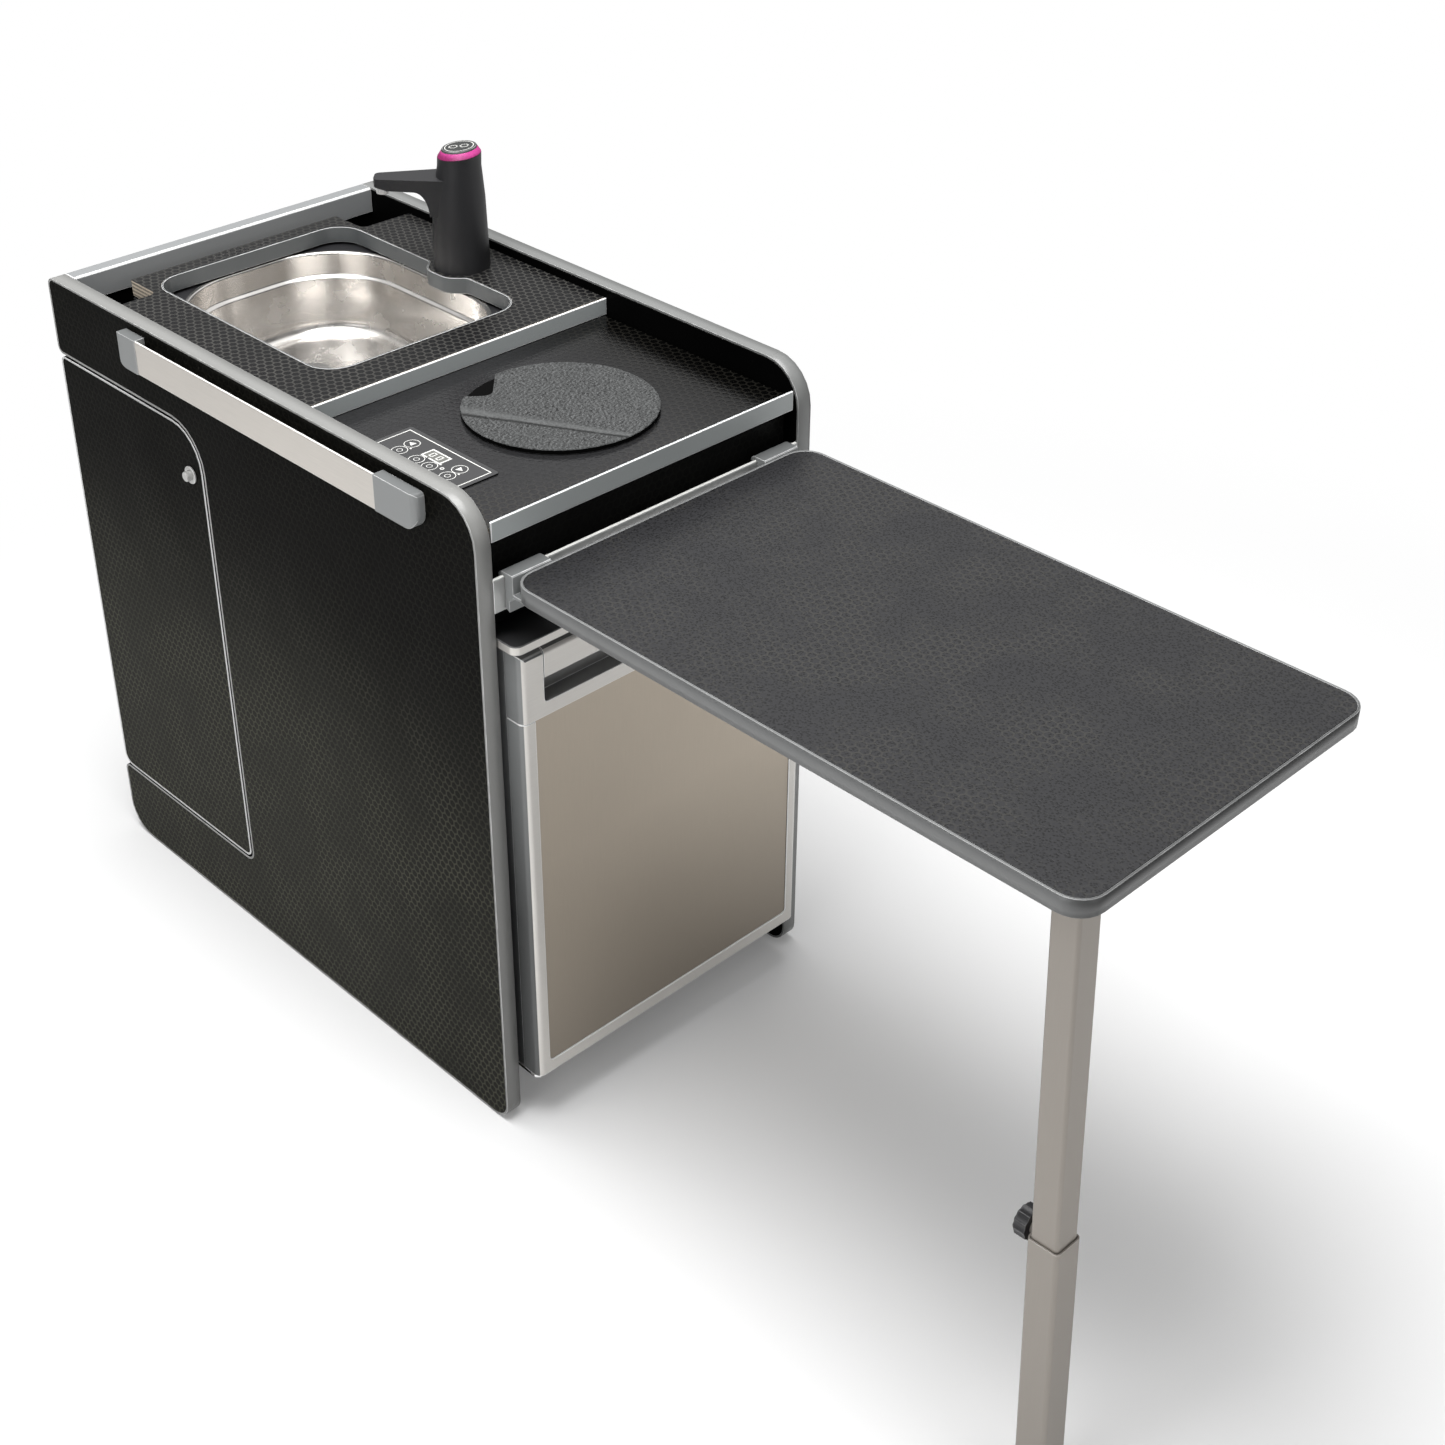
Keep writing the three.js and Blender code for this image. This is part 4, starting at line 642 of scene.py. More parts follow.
@dataclass(frozen=True)
class CrownedEdging(Finish):
    """Edging whose face is crowned across the thickness of the board that it covers, with a painted shade towards
    one end.
    """

    across: Axis = Axis.X
    middle: float = 208.0
    half: float = 9.0
    crown: float = 2.4
    # end: painted shade along y, given as where it is full, where it ends, and its share
    end: Optional[Point3] = None

    def dress(self, tree: Surface) -> None:
        """Adds the crown to the plain grain.

        Args:
            tree: the material's tree.
        """
        away = abs(tree.spot[self.across.value] - POD.origin[self.across.value])
        share = (away - self.middle * MM) / (self.half * MM)
        height = tree.math("SUBTRACT", 1.0, share * share, clamp=True)
        grain = self.fine_grain(tree)
        base = self.grained(tree, grain["Value"])
        # painted shade towards one end
        if self.end is not None:
            base = self.paint_shade(tree, base, self.end, Axis.Y)
        fine = tree.bump(grain["Height"], self.grain_relief)
        self.link(tree, base, grain["Value"], tree.bump(height, self.crown * MM, 1.0, fine))


@dataclass(frozen=True)
class MarkedCap(Finish):
    """Dark cap with a thin pale ring near its rim and two plain touch rings."""

    node: str = "tap_cap"
    rings: tuple[Point3, ...] = ((0.0, 0.0, 15.6), (-4.6, 4.6, 4.3), (4.4, -3.4, 4.3))
    line: float = 0.75
    mark: Colour = srgb(200, 200, 196)

    def dress(self, tree: Surface) -> None:
        """Adds the rings to the plain grain.

        Args:
            tree: the material's tree.
        """
        super().dress(tree)
        low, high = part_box(self.node)
        middle = (low + high) / 2
        mask: object = 0.0
        for x, y, radius in self.rings:
            length = tree.distance(tree.x, tree.y, (middle.x + x * MM, middle.y + y * MM))
            ring = tree.ramp(abs(length - radius * MM), self.line * 0.6 * MM, self.line * MM, 1.0, 0.0)
            mask = tree.math("MAXIMUM", mask, ring)
        plain = Signal(tree, tree.shader.inputs["Base Color"].links[0].from_socket)
        tree.feed(tree.shader, {"Base Color": tree.mix(mask * 0.95, plain, self.mark)})


@dataclass(frozen=True)
class CoverRubber(Finish):
    """Moulded grey rubber with pits, a pressed ring and one long raised crease, with painted light and shade
    on its lumps, painted shade in its pits, a painted highlight on the crease and a painted shadow beside it.
    """

    centre: Point2 = (10.0, 144.5)
    ring: float = 75.5
    ring_half: float = 1.1
    crease_from: Point2 = (-69.0, 201.0)
    crease_to: Point2 = (15.0, 45.0)
    crease_edge: Point2 = (2.0, 9.5)
    crease_wander: float = 4.0
    shadow_aside: float = 7.2
    shadow_half: float = 4.2
    pit_scale: float = 190.0
    speck_scale: float = 330.0
    lump_scale: float = 300.0
    # the shift of the noise that gives the lumps painted light and shade
    painted_light_shift: Point3 = (-0.0007, 0.0008, 0.0)
    relief: float = 0.002

    def crease(self, tree: Surface) -> tuple[Signal, Signal]:
        """Makes the masks of the raised crease's painted highlight and of the painted shadow beside it.

        Args:
            tree: the material's tree.

        Returns:
            The mask of the crease's painted highlight and that of the painted shadow beside it.
        """
        start, stop = (POD.at(*end) for end in (self.crease_from, self.crease_to))
        along = (stop - start).normalized()
        dx, dy = tree.x - start.x, tree.y - start.y
        wander = (tree.noise(tree.place, 22.0, 2.0) - 0.5) * (self.crease_wander * MM)
        widen = tree.ramp(dx * along.x + dy * along.y, 0.0, (stop - start).length, 0.82, 1.35, smooth=False)
        across = (dx * -along.y + dy * along.x + wander) * widen
        inner, outer = self.crease_edge
        return (tree.ramp(abs(across), inner * MM, outer * MM, 1.0, 0.0),
                tree.ramp(abs(across + self.shadow_aside * MM), 0.0, self.shadow_half * MM, 1.0, 0.0))

    def dress(self, tree: Surface) -> None:
        """Adds pits, the ring and the crease, with their painted light and shade.

        Args:
            tree: the material's tree.
        """
        radius = tree.distance(tree.x, tree.y, POD.at(*self.centre))
        ring = tree.ramp(abs(radius - self.ring * MM), 0.0, self.ring_half * MM, 1.0, 0.0)
        crease, shadow = self.crease(tree)
        speck = tree.ramp(tree.noise(tree.place, self.speck_scale, 5.0, 0.75), 0.46, 0.62)
        # painted light and shade: the lumps compared with a shifted copy give lit and shaded sides
        lumps, aside = (tree.noise(place, self.lump_scale, 3.0, 0.6)
                        for place in (tree.place, tree.move("ADD", tree.place, self.painted_light_shift)))
        relief_light = lumps - aside
        sparse = tree.ramp(tree.noise(tree.place, 90.0, 2.0), 0.44, 0.54)
        pit = tree.ramp(tree.pits(tree.place, self.pit_scale), 0.16, 0.36, 1.0, 0.0) * sparse
        grain = self.fine_grain(tree)
        base = self.grained(tree, grain["Value"])
        # painted shade in the pits, painted light and shade on the lumps, painted highlight on the crease, painted
        # shadow beside it
        for mask, share, tone in ((speck, 0.5, 0.6), (pit, 0.9, 0.2), (tree.ramp(relief_light, 0.03, 0.12), 0.7, 2.1),
                                  (tree.ramp(relief_light, -0.03, -0.12), 0.75, 0.25), (crease, 0.85, 1.6),
                                  (shadow, 0.9, 0.16), (ring, 0.55, 1.9)):
            base = tree.mix(mask * share, base, self.tone(tone))
        height = crease + pit * -0.35 + ring * 0.25 + speck * -0.2
        fine = tree.bump(grain["Height"], self.grain_relief)
        self.link(tree, base, grain["Value"], tree.bump(height, self.relief, 1.0, fine))


@dataclass(frozen=True)
class Plywood(Finish):
    """Raw edge of a board: thin layers of light and dark veneer."""

    layer: float = 4.4
    wander: float = 1.2
    fibre_scale: float = 500.0
    fibre_relief: float = 0.0002

    def dress(self, tree: Surface) -> None:
        """Adds the veneer layers.

        Args:
            tree: the material's tree.
        """
        turns = (tree.z + tree.noise(tree.place, 40.0, 3.0) * (self.wander * MM)) / (self.layer * MM)
        wave = tree.ramp(tree.math("SINE", turns * (2.0 * math.pi)), -0.6, 0.6)
        fibre = tree.noise(tree.place, self.fibre_scale, 4.0, 0.7)
        base = tree.mix(wave, self.tone(0.3), self.colour)
        base = tree.mix(tree.ramp(fibre, 0.45, 0.7), base, self.tone(0.7))
        tree.feed(tree.shader, {"Base Color": base, "Roughness": tree.ramp(fibre, 0.3, 0.7, 0.7, 0.9),
                                "Normal": tree.bump(fibre, self.fibre_relief)})


@dataclass(frozen=True)
class Glow(Finish):
    """Diffuser that is lit from inside, brighter at its upper rim."""

    low_colour: Colour = (0.2, 0.01, 0.06)
    level: float = 0.4
    rim: Point2 = (851.0, 858.0)
    ragged: float = 4.0

    def dress(self, tree: Surface) -> None:
        """Adds the light that the diffuser gives.

        Args:
            tree: the material's tree.
        """
        ragged = (tree.noise(tree.place, 330.0, 2.0) - 0.5) * (self.ragged * MM)
        colour = tree.mix(tree.ramp(tree.z + ragged, *POD.span(Axis.Z, *self.rim)), self.low_colour, self.colour)
        tree.feed(tree.shader, {"Base Color": colour, "Emission Color": colour, "Emission Strength": self.level,
                                "Roughness": self.roughness})


# painted shade darkens the side panels towards the top and the front
BLACK_SIDE = HexLaminate("black_hex_laminate", srgb(34, 34, 31), plane=Plane.YZ, line_colour=srgb(84, 83, 72),
                         line_strength=0.6, specular=0.02, shaded_top=(280.0, 600.0), shaded_front=(40.0, 320.0),
                         grain=0.2, pebble_share=0.35, patch_low=0.5)
BLACK_BACK = HexLaminate("black_hex_back", srgb(32, 32, 30), plane=Plane.XZ, line_colour=srgb(84, 83, 72),
                         line_strength=0.55, specular=0.05, grain=0.2, pebble_share=0.35, patch_low=0.5)
# painted shade: a near-black copy of the hex laminate for the fascia, which sits under the hob's front trim
BLACK_BOARD_SHADED = HexLaminate("black_hex_board_painted_shade", srgb(8, 8, 8), plane=Plane.XZ, line_colour=srgb(30, 30, 28),
                          specular=0.08)
BLACK_BASE = HexLaminate("black_hex_base", srgb(24, 24, 24), line_colour=srgb(40, 40, 38), specular=0.35)
SINK_LAMINATE = HexLaminate("sink_hex_laminate", srgb(13, 13, 14), roughness=0.3, line_colour=srgb(76, 75, 72),
                            line_strength=0.72, specular=0.13, edge_highlight=0.04, grain=0.3, pebble_share=0.35,
                            patch_low=0.75, grain_relief=0.00004)
# painted shade darkens the hob worktop towards the far panel
HOB_LAMINATE = HexLaminate("hob_hex_laminate", srgb(25, 25, 26), roughness=0.2, line_colour=srgb(57, 55, 50),
                           specular=0.22, edge_highlight=0.04, grain=0.3, calm=(-40.0, 190.0, 165.0), patch_low=0.6,
                           grain_relief=0.00004, shade=(0.0, 175.0, 1.0))
TABLE_LAMINATE = HexLaminate("table_laminate", srgb(15, 15, 16), roughness=0.34, line_colour=srgb(56, 55, 52),
                             line_strength=0.7, specular=0.28, edge_highlight=0.05, grain=0.2, pebble=2.6,
                             pebble_share=0.85, patch_low=0.0, speck_lift=5.0, grain_relief=0.0001)
BLACK_INNER = Finish("black_inner_face", srgb(5, 5, 5), grain=0.3, edge_highlight=0.02, specular=0.02)
# painted shade: dark grey on the edging faces inside the side door's gap
GAP_SHADE = Finish("painted_gap_shade", srgb(34, 34, 34), roughness=0.6, grain=0.1, edge_highlight=0.02, specular=0.1)
PLYWOOD = Plywood("plywood_edge", srgb(238, 224, 204))
EDGING = CrownedEdging("grey_edging", srgb(120, 121, 120), roughness=0.36, grain=0.05, edge_highlight=0.45)
# painted light: a lighter copy of the grey edging for the near trim, with painted shade downwards
NEAR_EDGING_LIT = CrownedEdging("near_grey_edging_painted_light", srgb(136, 136, 134), roughness=0.34, grain=0.06, edge_highlight=0.45,
                            painted_shade=(60.0, 560.0, 0.55))
# painted shade darkens the table edging at its front end
TABLE_EDGING = CrownedEdging("table_grey_edging", srgb(112, 113, 113), roughness=0.36, grain=0.05, edge_highlight=0.1,
                             across=Axis.Z, middle=647.25, half=8.75, crown=3.2, end=(-657.0, -636.0, 0.85))
PLAIN_EDGING = Finish("plain_grey_edging", srgb(140, 142, 143), roughness=0.36, grain=0.05, edge_highlight=0.95,
                      edge_low=0.85)
DOOR_EDGING = Finish("door_grey_edging", srgb(176, 177, 176), roughness=0.36, grain=0.05, edge_highlight=0.8,
                     edge_low=0.8)
STEP_EDGING = Finish("step_grey_edging", srgb(172, 177, 177), roughness=0.4, grain=0.05, edge_highlight=1.0,
                     edge_low=0.95)
DARK_EDGING = Finish("dark_grey_edging", srgb(88, 91, 92), roughness=0.4, grain=0.05, edge_highlight=0.85, edge_low=0.7)
# painted highlight: a near-white line where rounded edges catch the light
HIGHLIGHT_LINE = Finish("painted_highlight_line", srgb(232, 233, 232), roughness=0.4, grain=0.03, edge_highlight=0.3)
RAIL = Brushed("anodised_rail", srgb(205, 200, 193), roughness=0.36, metallic=0.55, along=Axis.Y, edge_highlight=0.9,
               edge_low=0.9)
# painted highlight: the rails' top faces are made lighter than their sides
RAIL_LIT_TOP = Finish("anodised_rail_painted_highlight", srgb(236, 236, 232), roughness=0.4, grain=0.04, edge_highlight=0.9, edge_low=0.9)
FRONT_RAIL = Brushed("anodised_front_rail", srgb(172, 173, 172), roughness=0.36, metallic=0.4, along=Axis.X,
                     grain=0.03, edge_highlight=1.0, edge_low=0.95)
LEG_METAL = Brushed("anodised_leg", srgb(146, 140, 133), roughness=0.4, metallic=0.55, grain=0.05, edge_highlight=0.6)
GREY_MOULDED = Finish("grey_moulded_plastic", srgb(138, 140, 140), roughness=0.45, grain=0.05, edge_highlight=0.45)
# painted shade: the moulded parts' top faces are made darker than their sides
GREY_SHADED_TOP = Finish("grey_moulded_painted_shade", srgb(104, 106, 106), roughness=0.45, grain=0.06, edge_highlight=0.8, edge_low=0.7)
STEEL = PressedSteel("polished_steel", (0.84, 0.815, 0.785), roughness=0.25, metallic=1.0, grain_relief=0.0000004,
                     gloss_spread=0.05, edge_highlight=0.7, edge_low=0.8)
CHROME = Finish("chrome", (0.86, 0.86, 0.86), roughness=0.08, metallic=1.0, grain=0.02, grain_relief=0.000003,
                gloss_spread=0.03, edge_highlight=0.3)
HINGE_METAL = Brushed("hinge_metal", srgb(150, 150, 148), roughness=0.4, metallic=0.6)
LOCK_SILVER = Finish("lock_silver", srgb(186, 186, 184), roughness=0.38, metallic=0.3, grain=0.06, edge_highlight=0.7)
SILVER = Brushed("silver_paint", srgb(212, 209, 204), roughness=0.34, metallic=0.4, along=Axis.X, grain=0.04,
                 stretch=30.0, edge_highlight=1.0, edge_low=0.85)
# painted shade: a darker copy of the silver for the door's sides, darker still lower down
SILVER_SHADED_SIDE = Brushed("silver_painted_shade_side", srgb(132, 134, 134), roughness=0.4, grain=0.06, edge_highlight=0.9, edge_low=0.8,
                      painted_shade=(260.0, 540.0, 1.0))
# painted reflection: dark grey on the rolled tops of the silver handle parts, where they mirror the dark parts above
ROLL_SHADE = Finish("roll_painted_shade", srgb(92, 93, 93), roughness=0.36, edge_highlight=0.9, edge_low=0.8)
SLOT_GREY = Finish("slot_grey", srgb(150, 150, 149), grain=0.12, edge_highlight=0.02, specular=0.3)
# painted shade darkens the insert towards its bottom
INSERT = Brushed("warm_grey_panel", srgb(182, 171, 156), roughness=0.4, metallic=0.5, grain=0.06, edge_highlight=0.35,
                 painted_shade=(40.0, 330.0, 0.7))
EVAPORATOR = Brushed("evaporator_aluminium", srgb(200, 202, 204), roughness=0.38, metallic=0.8, along=Axis.Y,
                     grain=0.06)
WHITE_LINER = Finish("white_liner", srgb(222, 222, 218), roughness=0.42, grain=0.03, edge_highlight=0.4)
SEAL_RUBBER = Finish("seal_rubber", srgb(40, 40, 41), roughness=0.75, grain=0.15, edge_highlight=0.1)
DARK_CASE = Finish("fridge_case_black", srgb(44, 44, 45), grain=0.12, specular=0.3)
COVER_TOP = Finish("fridge_cover_black", srgb(34, 34, 35), grain=0.12, edge_highlight=0.2)
MATTE_BLACK = Finish("matte_black_plastic", srgb(32, 32, 34), roughness=0.44, grain=0.12, edge_highlight=0.12,
                     grain_relief=0.00003)
# painted highlight: the chrome aerator is near white, standing in for its bright reflection
TIP_HIGHLIGHT = Finish("tip_painted_highlight", srgb(240, 240, 240), roughness=0.25, metallic=0.2, grain=0.1)
CAP_GREY = MarkedCap("tap_cap_grey", srgb(52, 53, 53), roughness=0.45, specular=0.3)
LIT_RING = Glow("lit_magenta_ring", srgb(186, 62, 136), roughness=0.4, low_colour=srgb(120, 26, 80), level=0.22)
COVER = CoverRubber("cover_rubber", srgb(75, 76, 76), roughness=0.865, gloss_spread=0.085, grain=0.2,
                    cloud_scale=20.0, grain_relief=0.0003, edge_highlight=0.02, specular=0.3)
# near-black rubber of the cover's sides and finger hollow; on the control panel's sides it is painted shade under
# the film's edge
BLACK_RUBBER_AND_SHADE = Finish("black_rubber_and_painted_shade", srgb(6, 6, 6), roughness=0.9, grain=0.3, edge_highlight=0.02, specular=0.05)
GLASS = Finish("black_glass", srgb(10, 10, 11), roughness=0.06, grain=0.05, edge_highlight=0.3, grain_relief=0.000002)
PANEL_FILM = Finish("control_panel_film", srgb(56, 56, 57), roughness=0.34, edge_highlight=0.05, grain_relief=0.00001)
DISPLAY_GREY = Finish("display_window_grey", srgb(104, 104, 100), roughness=0.25, grain=0.05)
PRINT = Finish("white_print", srgb(222, 222, 218), grain=0.05, edge_highlight=0.0)
HOSE = Finish("hose_plastic", srgb(93, 98, 100), roughness=0.45)
CAN = Finish("can_plastic", srgb(212, 217, 220), roughness=0.4, grain=0.04, specular=0.45)


# ---- forms ---------------------------------------------------------------------------------------


def blank_form() -> Form:
    """Makes an empty form that can say which of its faces get the painted edge highlight.

    Returns:
        The form.
    """
    form = bmesh.new()
    form.faces.layers.float.new("edge_highlight_mask")
    return form


def bridge(form: Form, low: Sequence[bmesh.types.BMVert], high: Sequence[bmesh.types.BMVert]) -> None:
    """Joins two closed rows of points with faces, or a row and a single point with a fan.

    Args:
        form: the form that gets the faces.
        low: the first row.
        high: the second row.
    """
    count = max(len(low), len(high))
    for i in range(count):
        j = (i + 1) % count
        corners = (low[i % len(low)], low[j % len(low)], high[j % len(high)], high[i % len(high)])
        form.faces.new(tuple(dict.fromkeys(corners)))


def tube(rows: Sequence[Sequence[Vector]]) -> Form:
    """Skins a form over closed rows of points, with the last row joined to the first.

    Args:
        rows: the points of each row, in metres.

    Returns:
        The form.
    """
    form = blank_form()
    made = [[form.verts.new(point) for point in row] for row in rows]
    for low, high in zip(made, made[1:] + made[:1]):
        bridge(form, low, high)
    bmesh.ops.recalc_face_normals(form, faces=form.faces)
    return form


def circle(x: float, y: float, radius: float, count: int = 28) -> list[Point2]:
    """Lists points on a circle."""
    turns = [2 * math.pi * i / count for i in range(count)]
    return [(x + radius * math.cos(turn), y + radius * math.sin(turn)) for turn in turns]


def rectangle(x0: float, y0: float, x1: float, y1: float, inset: float = 0.0) -> list[Point2]:
    """Lists the corners of a rectangle, moved inwards by inset."""
    x0, y0, x1, y1 = x0 + inset, y0 + inset, x1 - inset, y1 - inset
    return [(x0, y0), (x1, y0), (x1, y1), (x0, y1)]


@dataclass
class Forms:
    """Makes finished pieces and puts them on their bodies."""

    made: list[bpy.types.Object] = field(default_factory=list)

    def add(self, name: str, mesh: bpy.types.Mesh, body: str, slot: str,
            finishes: Sequence[Finish], replaces: Sequence[str] = ()) -> bpy.types.Object:
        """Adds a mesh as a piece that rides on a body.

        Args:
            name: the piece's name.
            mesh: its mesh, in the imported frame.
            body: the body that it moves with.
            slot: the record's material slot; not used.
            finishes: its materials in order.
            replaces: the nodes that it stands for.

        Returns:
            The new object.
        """
        piece = bpy.data.objects.new(name, mesh)
        bpy.context.scene.collection.objects.link(piece)
        for finish in finishes:
            mesh.materials.append(finish.material())
        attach(piece, body)
        if replaces:
            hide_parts(*replaces)
        self.made.append(piece)
        return piece

    @staticmethod
    def finish_mesh(form: Form, name: str, sharp: float = 50.0) -> bpy.types.Mesh:
        """Turns a form into a smooth-shaded mesh with its hard corners kept.

        Args:
            form: the form, which is used up.
            name: the mesh's name.
            sharp: an edge that turns by more than this, in degrees, stays hard.

        Returns:
            The mesh.
        """
        form.normal_update()
        for face in form.faces:
            face.smooth = True
        limit = math.radians(sharp)
        for edge in form.edges:
            edge.smooth = not (len(edge.link_faces) == 2 and edge.calc_face_angle(0.0) > limit)
        mesh = bpy.data.meshes.new(name)
        form.to_mesh(mesh)
        form.free()
        return mesh

    def refine(self, node: str, finishes: Sequence[Finish], width: float = 0.5, steps: int = 2,
               choose: Optional[Chooser] = None, angle: float = 32.0) -> bpy.types.Object:
        """Makes a merged copy of a node with rounded edges and puts it in the node's place.

        Args:
            node: the node's name.
            finishes: its materials; more than one where choose picks between them.
            width: how far the rounding reaches on each side of an edge, in millimetres.
            steps: how many facets the rounding has.
            choose: picks the material of a face.
            angle: edges that turn by more than this are rounded, in degrees.

        Returns:
            The new object.
        """
        form = bmesh.new()
        form.from_mesh(frame["nodes"][node].data)
        bmesh.ops.remove_doubles(form, verts=form.verts, dist=MERGE_REACH * MM)
        bmesh.ops.dissolve_limit(form, angle_limit=math.radians(FLAT_TURN), verts=form.verts, edges=form.edges)
        form.normal_update()
        if choose is not None:
            for face in form.faces:
                face.material_index = choose(face)
        # the rounded faces are marked for the painted edge highlight
        edge_highlight_mask = form.faces.layers.float.new("edge_highlight_mask")
        limit = math.radians(angle)
        edges = [e for e in form.edges if len(e.link_faces) == 2 and e.calc_face_angle(0.0) > limit]
        rounded = bmesh.ops.bevel(form, geom=edges, offset=width * MM, segments=steps, profile=0.5,
                                  affect="EDGES", clamp_overlap=True)
        for face in rounded["faces"]:
            face[edge_highlight_mask] = 1.0
        body = next(b for b, nodes in frame["record"]["behaviour"]["bodies"].items() if node in nodes)
        mesh = self.finish_mesh(form, node + "_finished")
        piece = self.add(node + "_finished", mesh, body, node, finishes, (node,))
        piece.modifiers.new("weighted_normals", "WEIGHTED_NORMAL").keep_sharp = True
        return piece


FORMS = Forms()


class Repeats:
    """Geometry Nodes tree that repeats one small part along a line."""

    @staticmethod
    def tree() -> bpy.types.NodeTree:
        """Makes the tree.

        Returns:
            The tree.
        """
        tree = Group("RepeatAlongLine", "GeometryNodeTree",
                     {"Geometry": "Geometry", "Count": "Int", "Start": "Vector", "Step": "Vector",
                      "Turn": "Vector", "Material": "Material"})
        given = tree.given
        line = tree.make("GeometryNodeMeshLine",
                         {"Count": given["Count"], "Start Location": given["Start"], "Offset": given["Step"]})
        turn = tree.make("FunctionNodeEulerToRotation", {0: given["Turn"]})
        copies = tree.make("GeometryNodeInstanceOnPoints",
                           {"Points": line, "Instance": given["Geometry"], "Rotation": turn})
        real = tree.make("GeometryNodeRealizeInstances", {0: copies})
        paint = tree.make("GeometryNodeSetMaterial", {"Geometry": real, "Material": given["Material"]})
        return tree.close("Geometry", Geometry=paint)

    @classmethod
    def along(cls, part: Form, name: str, finish: Finish, **values: object) -> bpy.types.Mesh:
        """Repeats a part and gives the result as one plain mesh.

        Args:
            part: the part, about the origin and in metres.
            name: name of the result.
            finish: its finish.
            values: the Count of parts, where they Start, the Step from one to the next and their Turn.

        Returns:
            The mesh, with no material slots.
        """
        holder = bpy.data.objects.new(name + "_part", Forms.finish_mesh(part, name + "_part", 40.0))
        bpy.context.scene.collection.objects.link(holder)
        modifier = holder.modifiers.new("repeat", "NODES")
        modifier.node_group = cls.tree()
        values["Material"] = finish.material()
        for item in modifier.node_group.interface.items_tree:
            if item.in_out == "INPUT" and item.name in values:
                modifier[item.identifier] = values[item.name]
        depsgraph = bpy.context.evaluated_depsgraph_get()
        result = bpy.data.meshes.new_from_object(holder.evaluated_get(depsgraph))
        result.name = name
        result.materials.clear()
        bpy.data.objects.remove(holder)
        return result


def screw_head(radius: float, sides: int = 20) -> Form:
    """Makes a small domed screw head with a socket, about the origin and facing up.

    Args:
        radius: its radius in millimetres.
        sides: how many facets go round.

    Returns:
        The form in metres.
    """
    form = blank_form()
    profile = ((0.0, 0.0), (radius, 0.0), (radius, 0.2), (radius * 0.82, radius * 0.32),
               (radius * 0.45, radius * 0.42), (radius * 0.36, radius * 0.16), (0.0, radius * 0.1))
    rows = [[form.verts.new(Vector((x, y, height)) * MM) for x, y in circle(0.0, 0.0, reach, sides if reach else 1)]
            for reach, height in profile]
    for low, high in zip(rows, rows[1:]):
        bridge(form, low, high)
    return form


# ---- choice of a face's finish -------------------------------------------------------------------


def looks(axis: Axis, limit: float) -> Chooser:
    """Makes a chooser that gives 1 for the faces that look along an axis, or against it below zero.

    Args:
        axis: the axis.
        limit: how much of the face's normal lies along it, with its sign.

    Returns:
        The chooser.
    """
    way = math.copysign(1.0, limit)
    return lambda face: int(face.normal[axis.value] * way > abs(limit))


def opening_rim(face: Face) -> int:
    """Tells the edging's faces apart.

    Args:
        face: the face.

    Returns:
        1 for the rim faces that look at the side door across its gap, which get painted shade, and 0 for the others.
    """
    low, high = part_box("side_door")
    middle = face.calc_center_median()
    near = 0.007
    beside = low.y - near < middle.y < high.y + near and low.z - near < middle.z < high.z + near
    return int(beside and abs(face.normal.x) < 0.6)


def within(node: str, face: Face, sides: float, ends: float) -> bool:
    """Tells whether a face lies behind the front of a node and clear of its outline.

    Args:
        node: the node.
        face: the face.
        sides: how far from the sides, in metres.
        ends: how far from the top and the bottom, in metres.

    Returns:
        Whether it does.
    """
    low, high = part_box(node)
    middle = face.calc_center_median()
    return (low.x + sides < middle.x < high.x - sides and low.z + ends < middle.z < high.z - ends
            and middle.y > low.y + 0.001)


def top_or_side(face: Face) -> int:
    """Tells the cover's faces apart.

    Args:
        face: the face.

    Returns:
        0 for the level top, and 1 for the sides and the finger hollow.
    """
    _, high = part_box("disc_cover")
    return 0 if face.normal.z > 0.3 and face.calc_center_median().z > high.z - 0.001 else 1


def hollow_or_front(face: Face) -> int:
    """Tells the handle module's faces apart.

    Args:
        face: the face.

    Returns:
        0 for its front, 1 for the grip hollow, 2 for its sides, in painted shade, and 3 for its top roll, in painted
        shade.
    """
    if within("fridge_handle_module", face, 0.004, 0.002):
        return 1
    if face.normal.z > 0.35:
        return 3
    return 2 if abs(face.normal.x) > 0.7 else 0


def flap_faces(face: Face) -> int:
    """Tells the handle flap's faces apart.

    Args:
        face: the face.

    Returns:
        0 for its front, 1 for what is below and 2 for its rolled top.
    """
    if face.normal.y < -0.75:
        return 0
    return 2 if face.normal.z > 0.3 else 1


def frame_faces(face: Face) -> int:
    """Tells the door frame's faces apart.

    Args:
        face: the face.

    Returns:
        0 for its front, 1 for its sides, which get painted shade, and 2 for the painted highlight line along the
        panel's lower edge.
    """
    if face.normal.z > 0.7:
        return 2
    return 1 if abs(face.normal.x) > 0.7 else 0


def liner_or_case(face: Face) -> int:
    """Tells the fridge cabinet's faces apart.

    Args:
        face: the face.

    Returns:
        0 for the case and 1 for the faces inside it.
    """
    _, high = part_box("fridge_case")
    return int(within("fridge_case", face, 0.02, 0.02) and face.calc_center_median().y < high.y - 0.025)


# ---- sub-assemblies ------------------------------------------------------------------------------


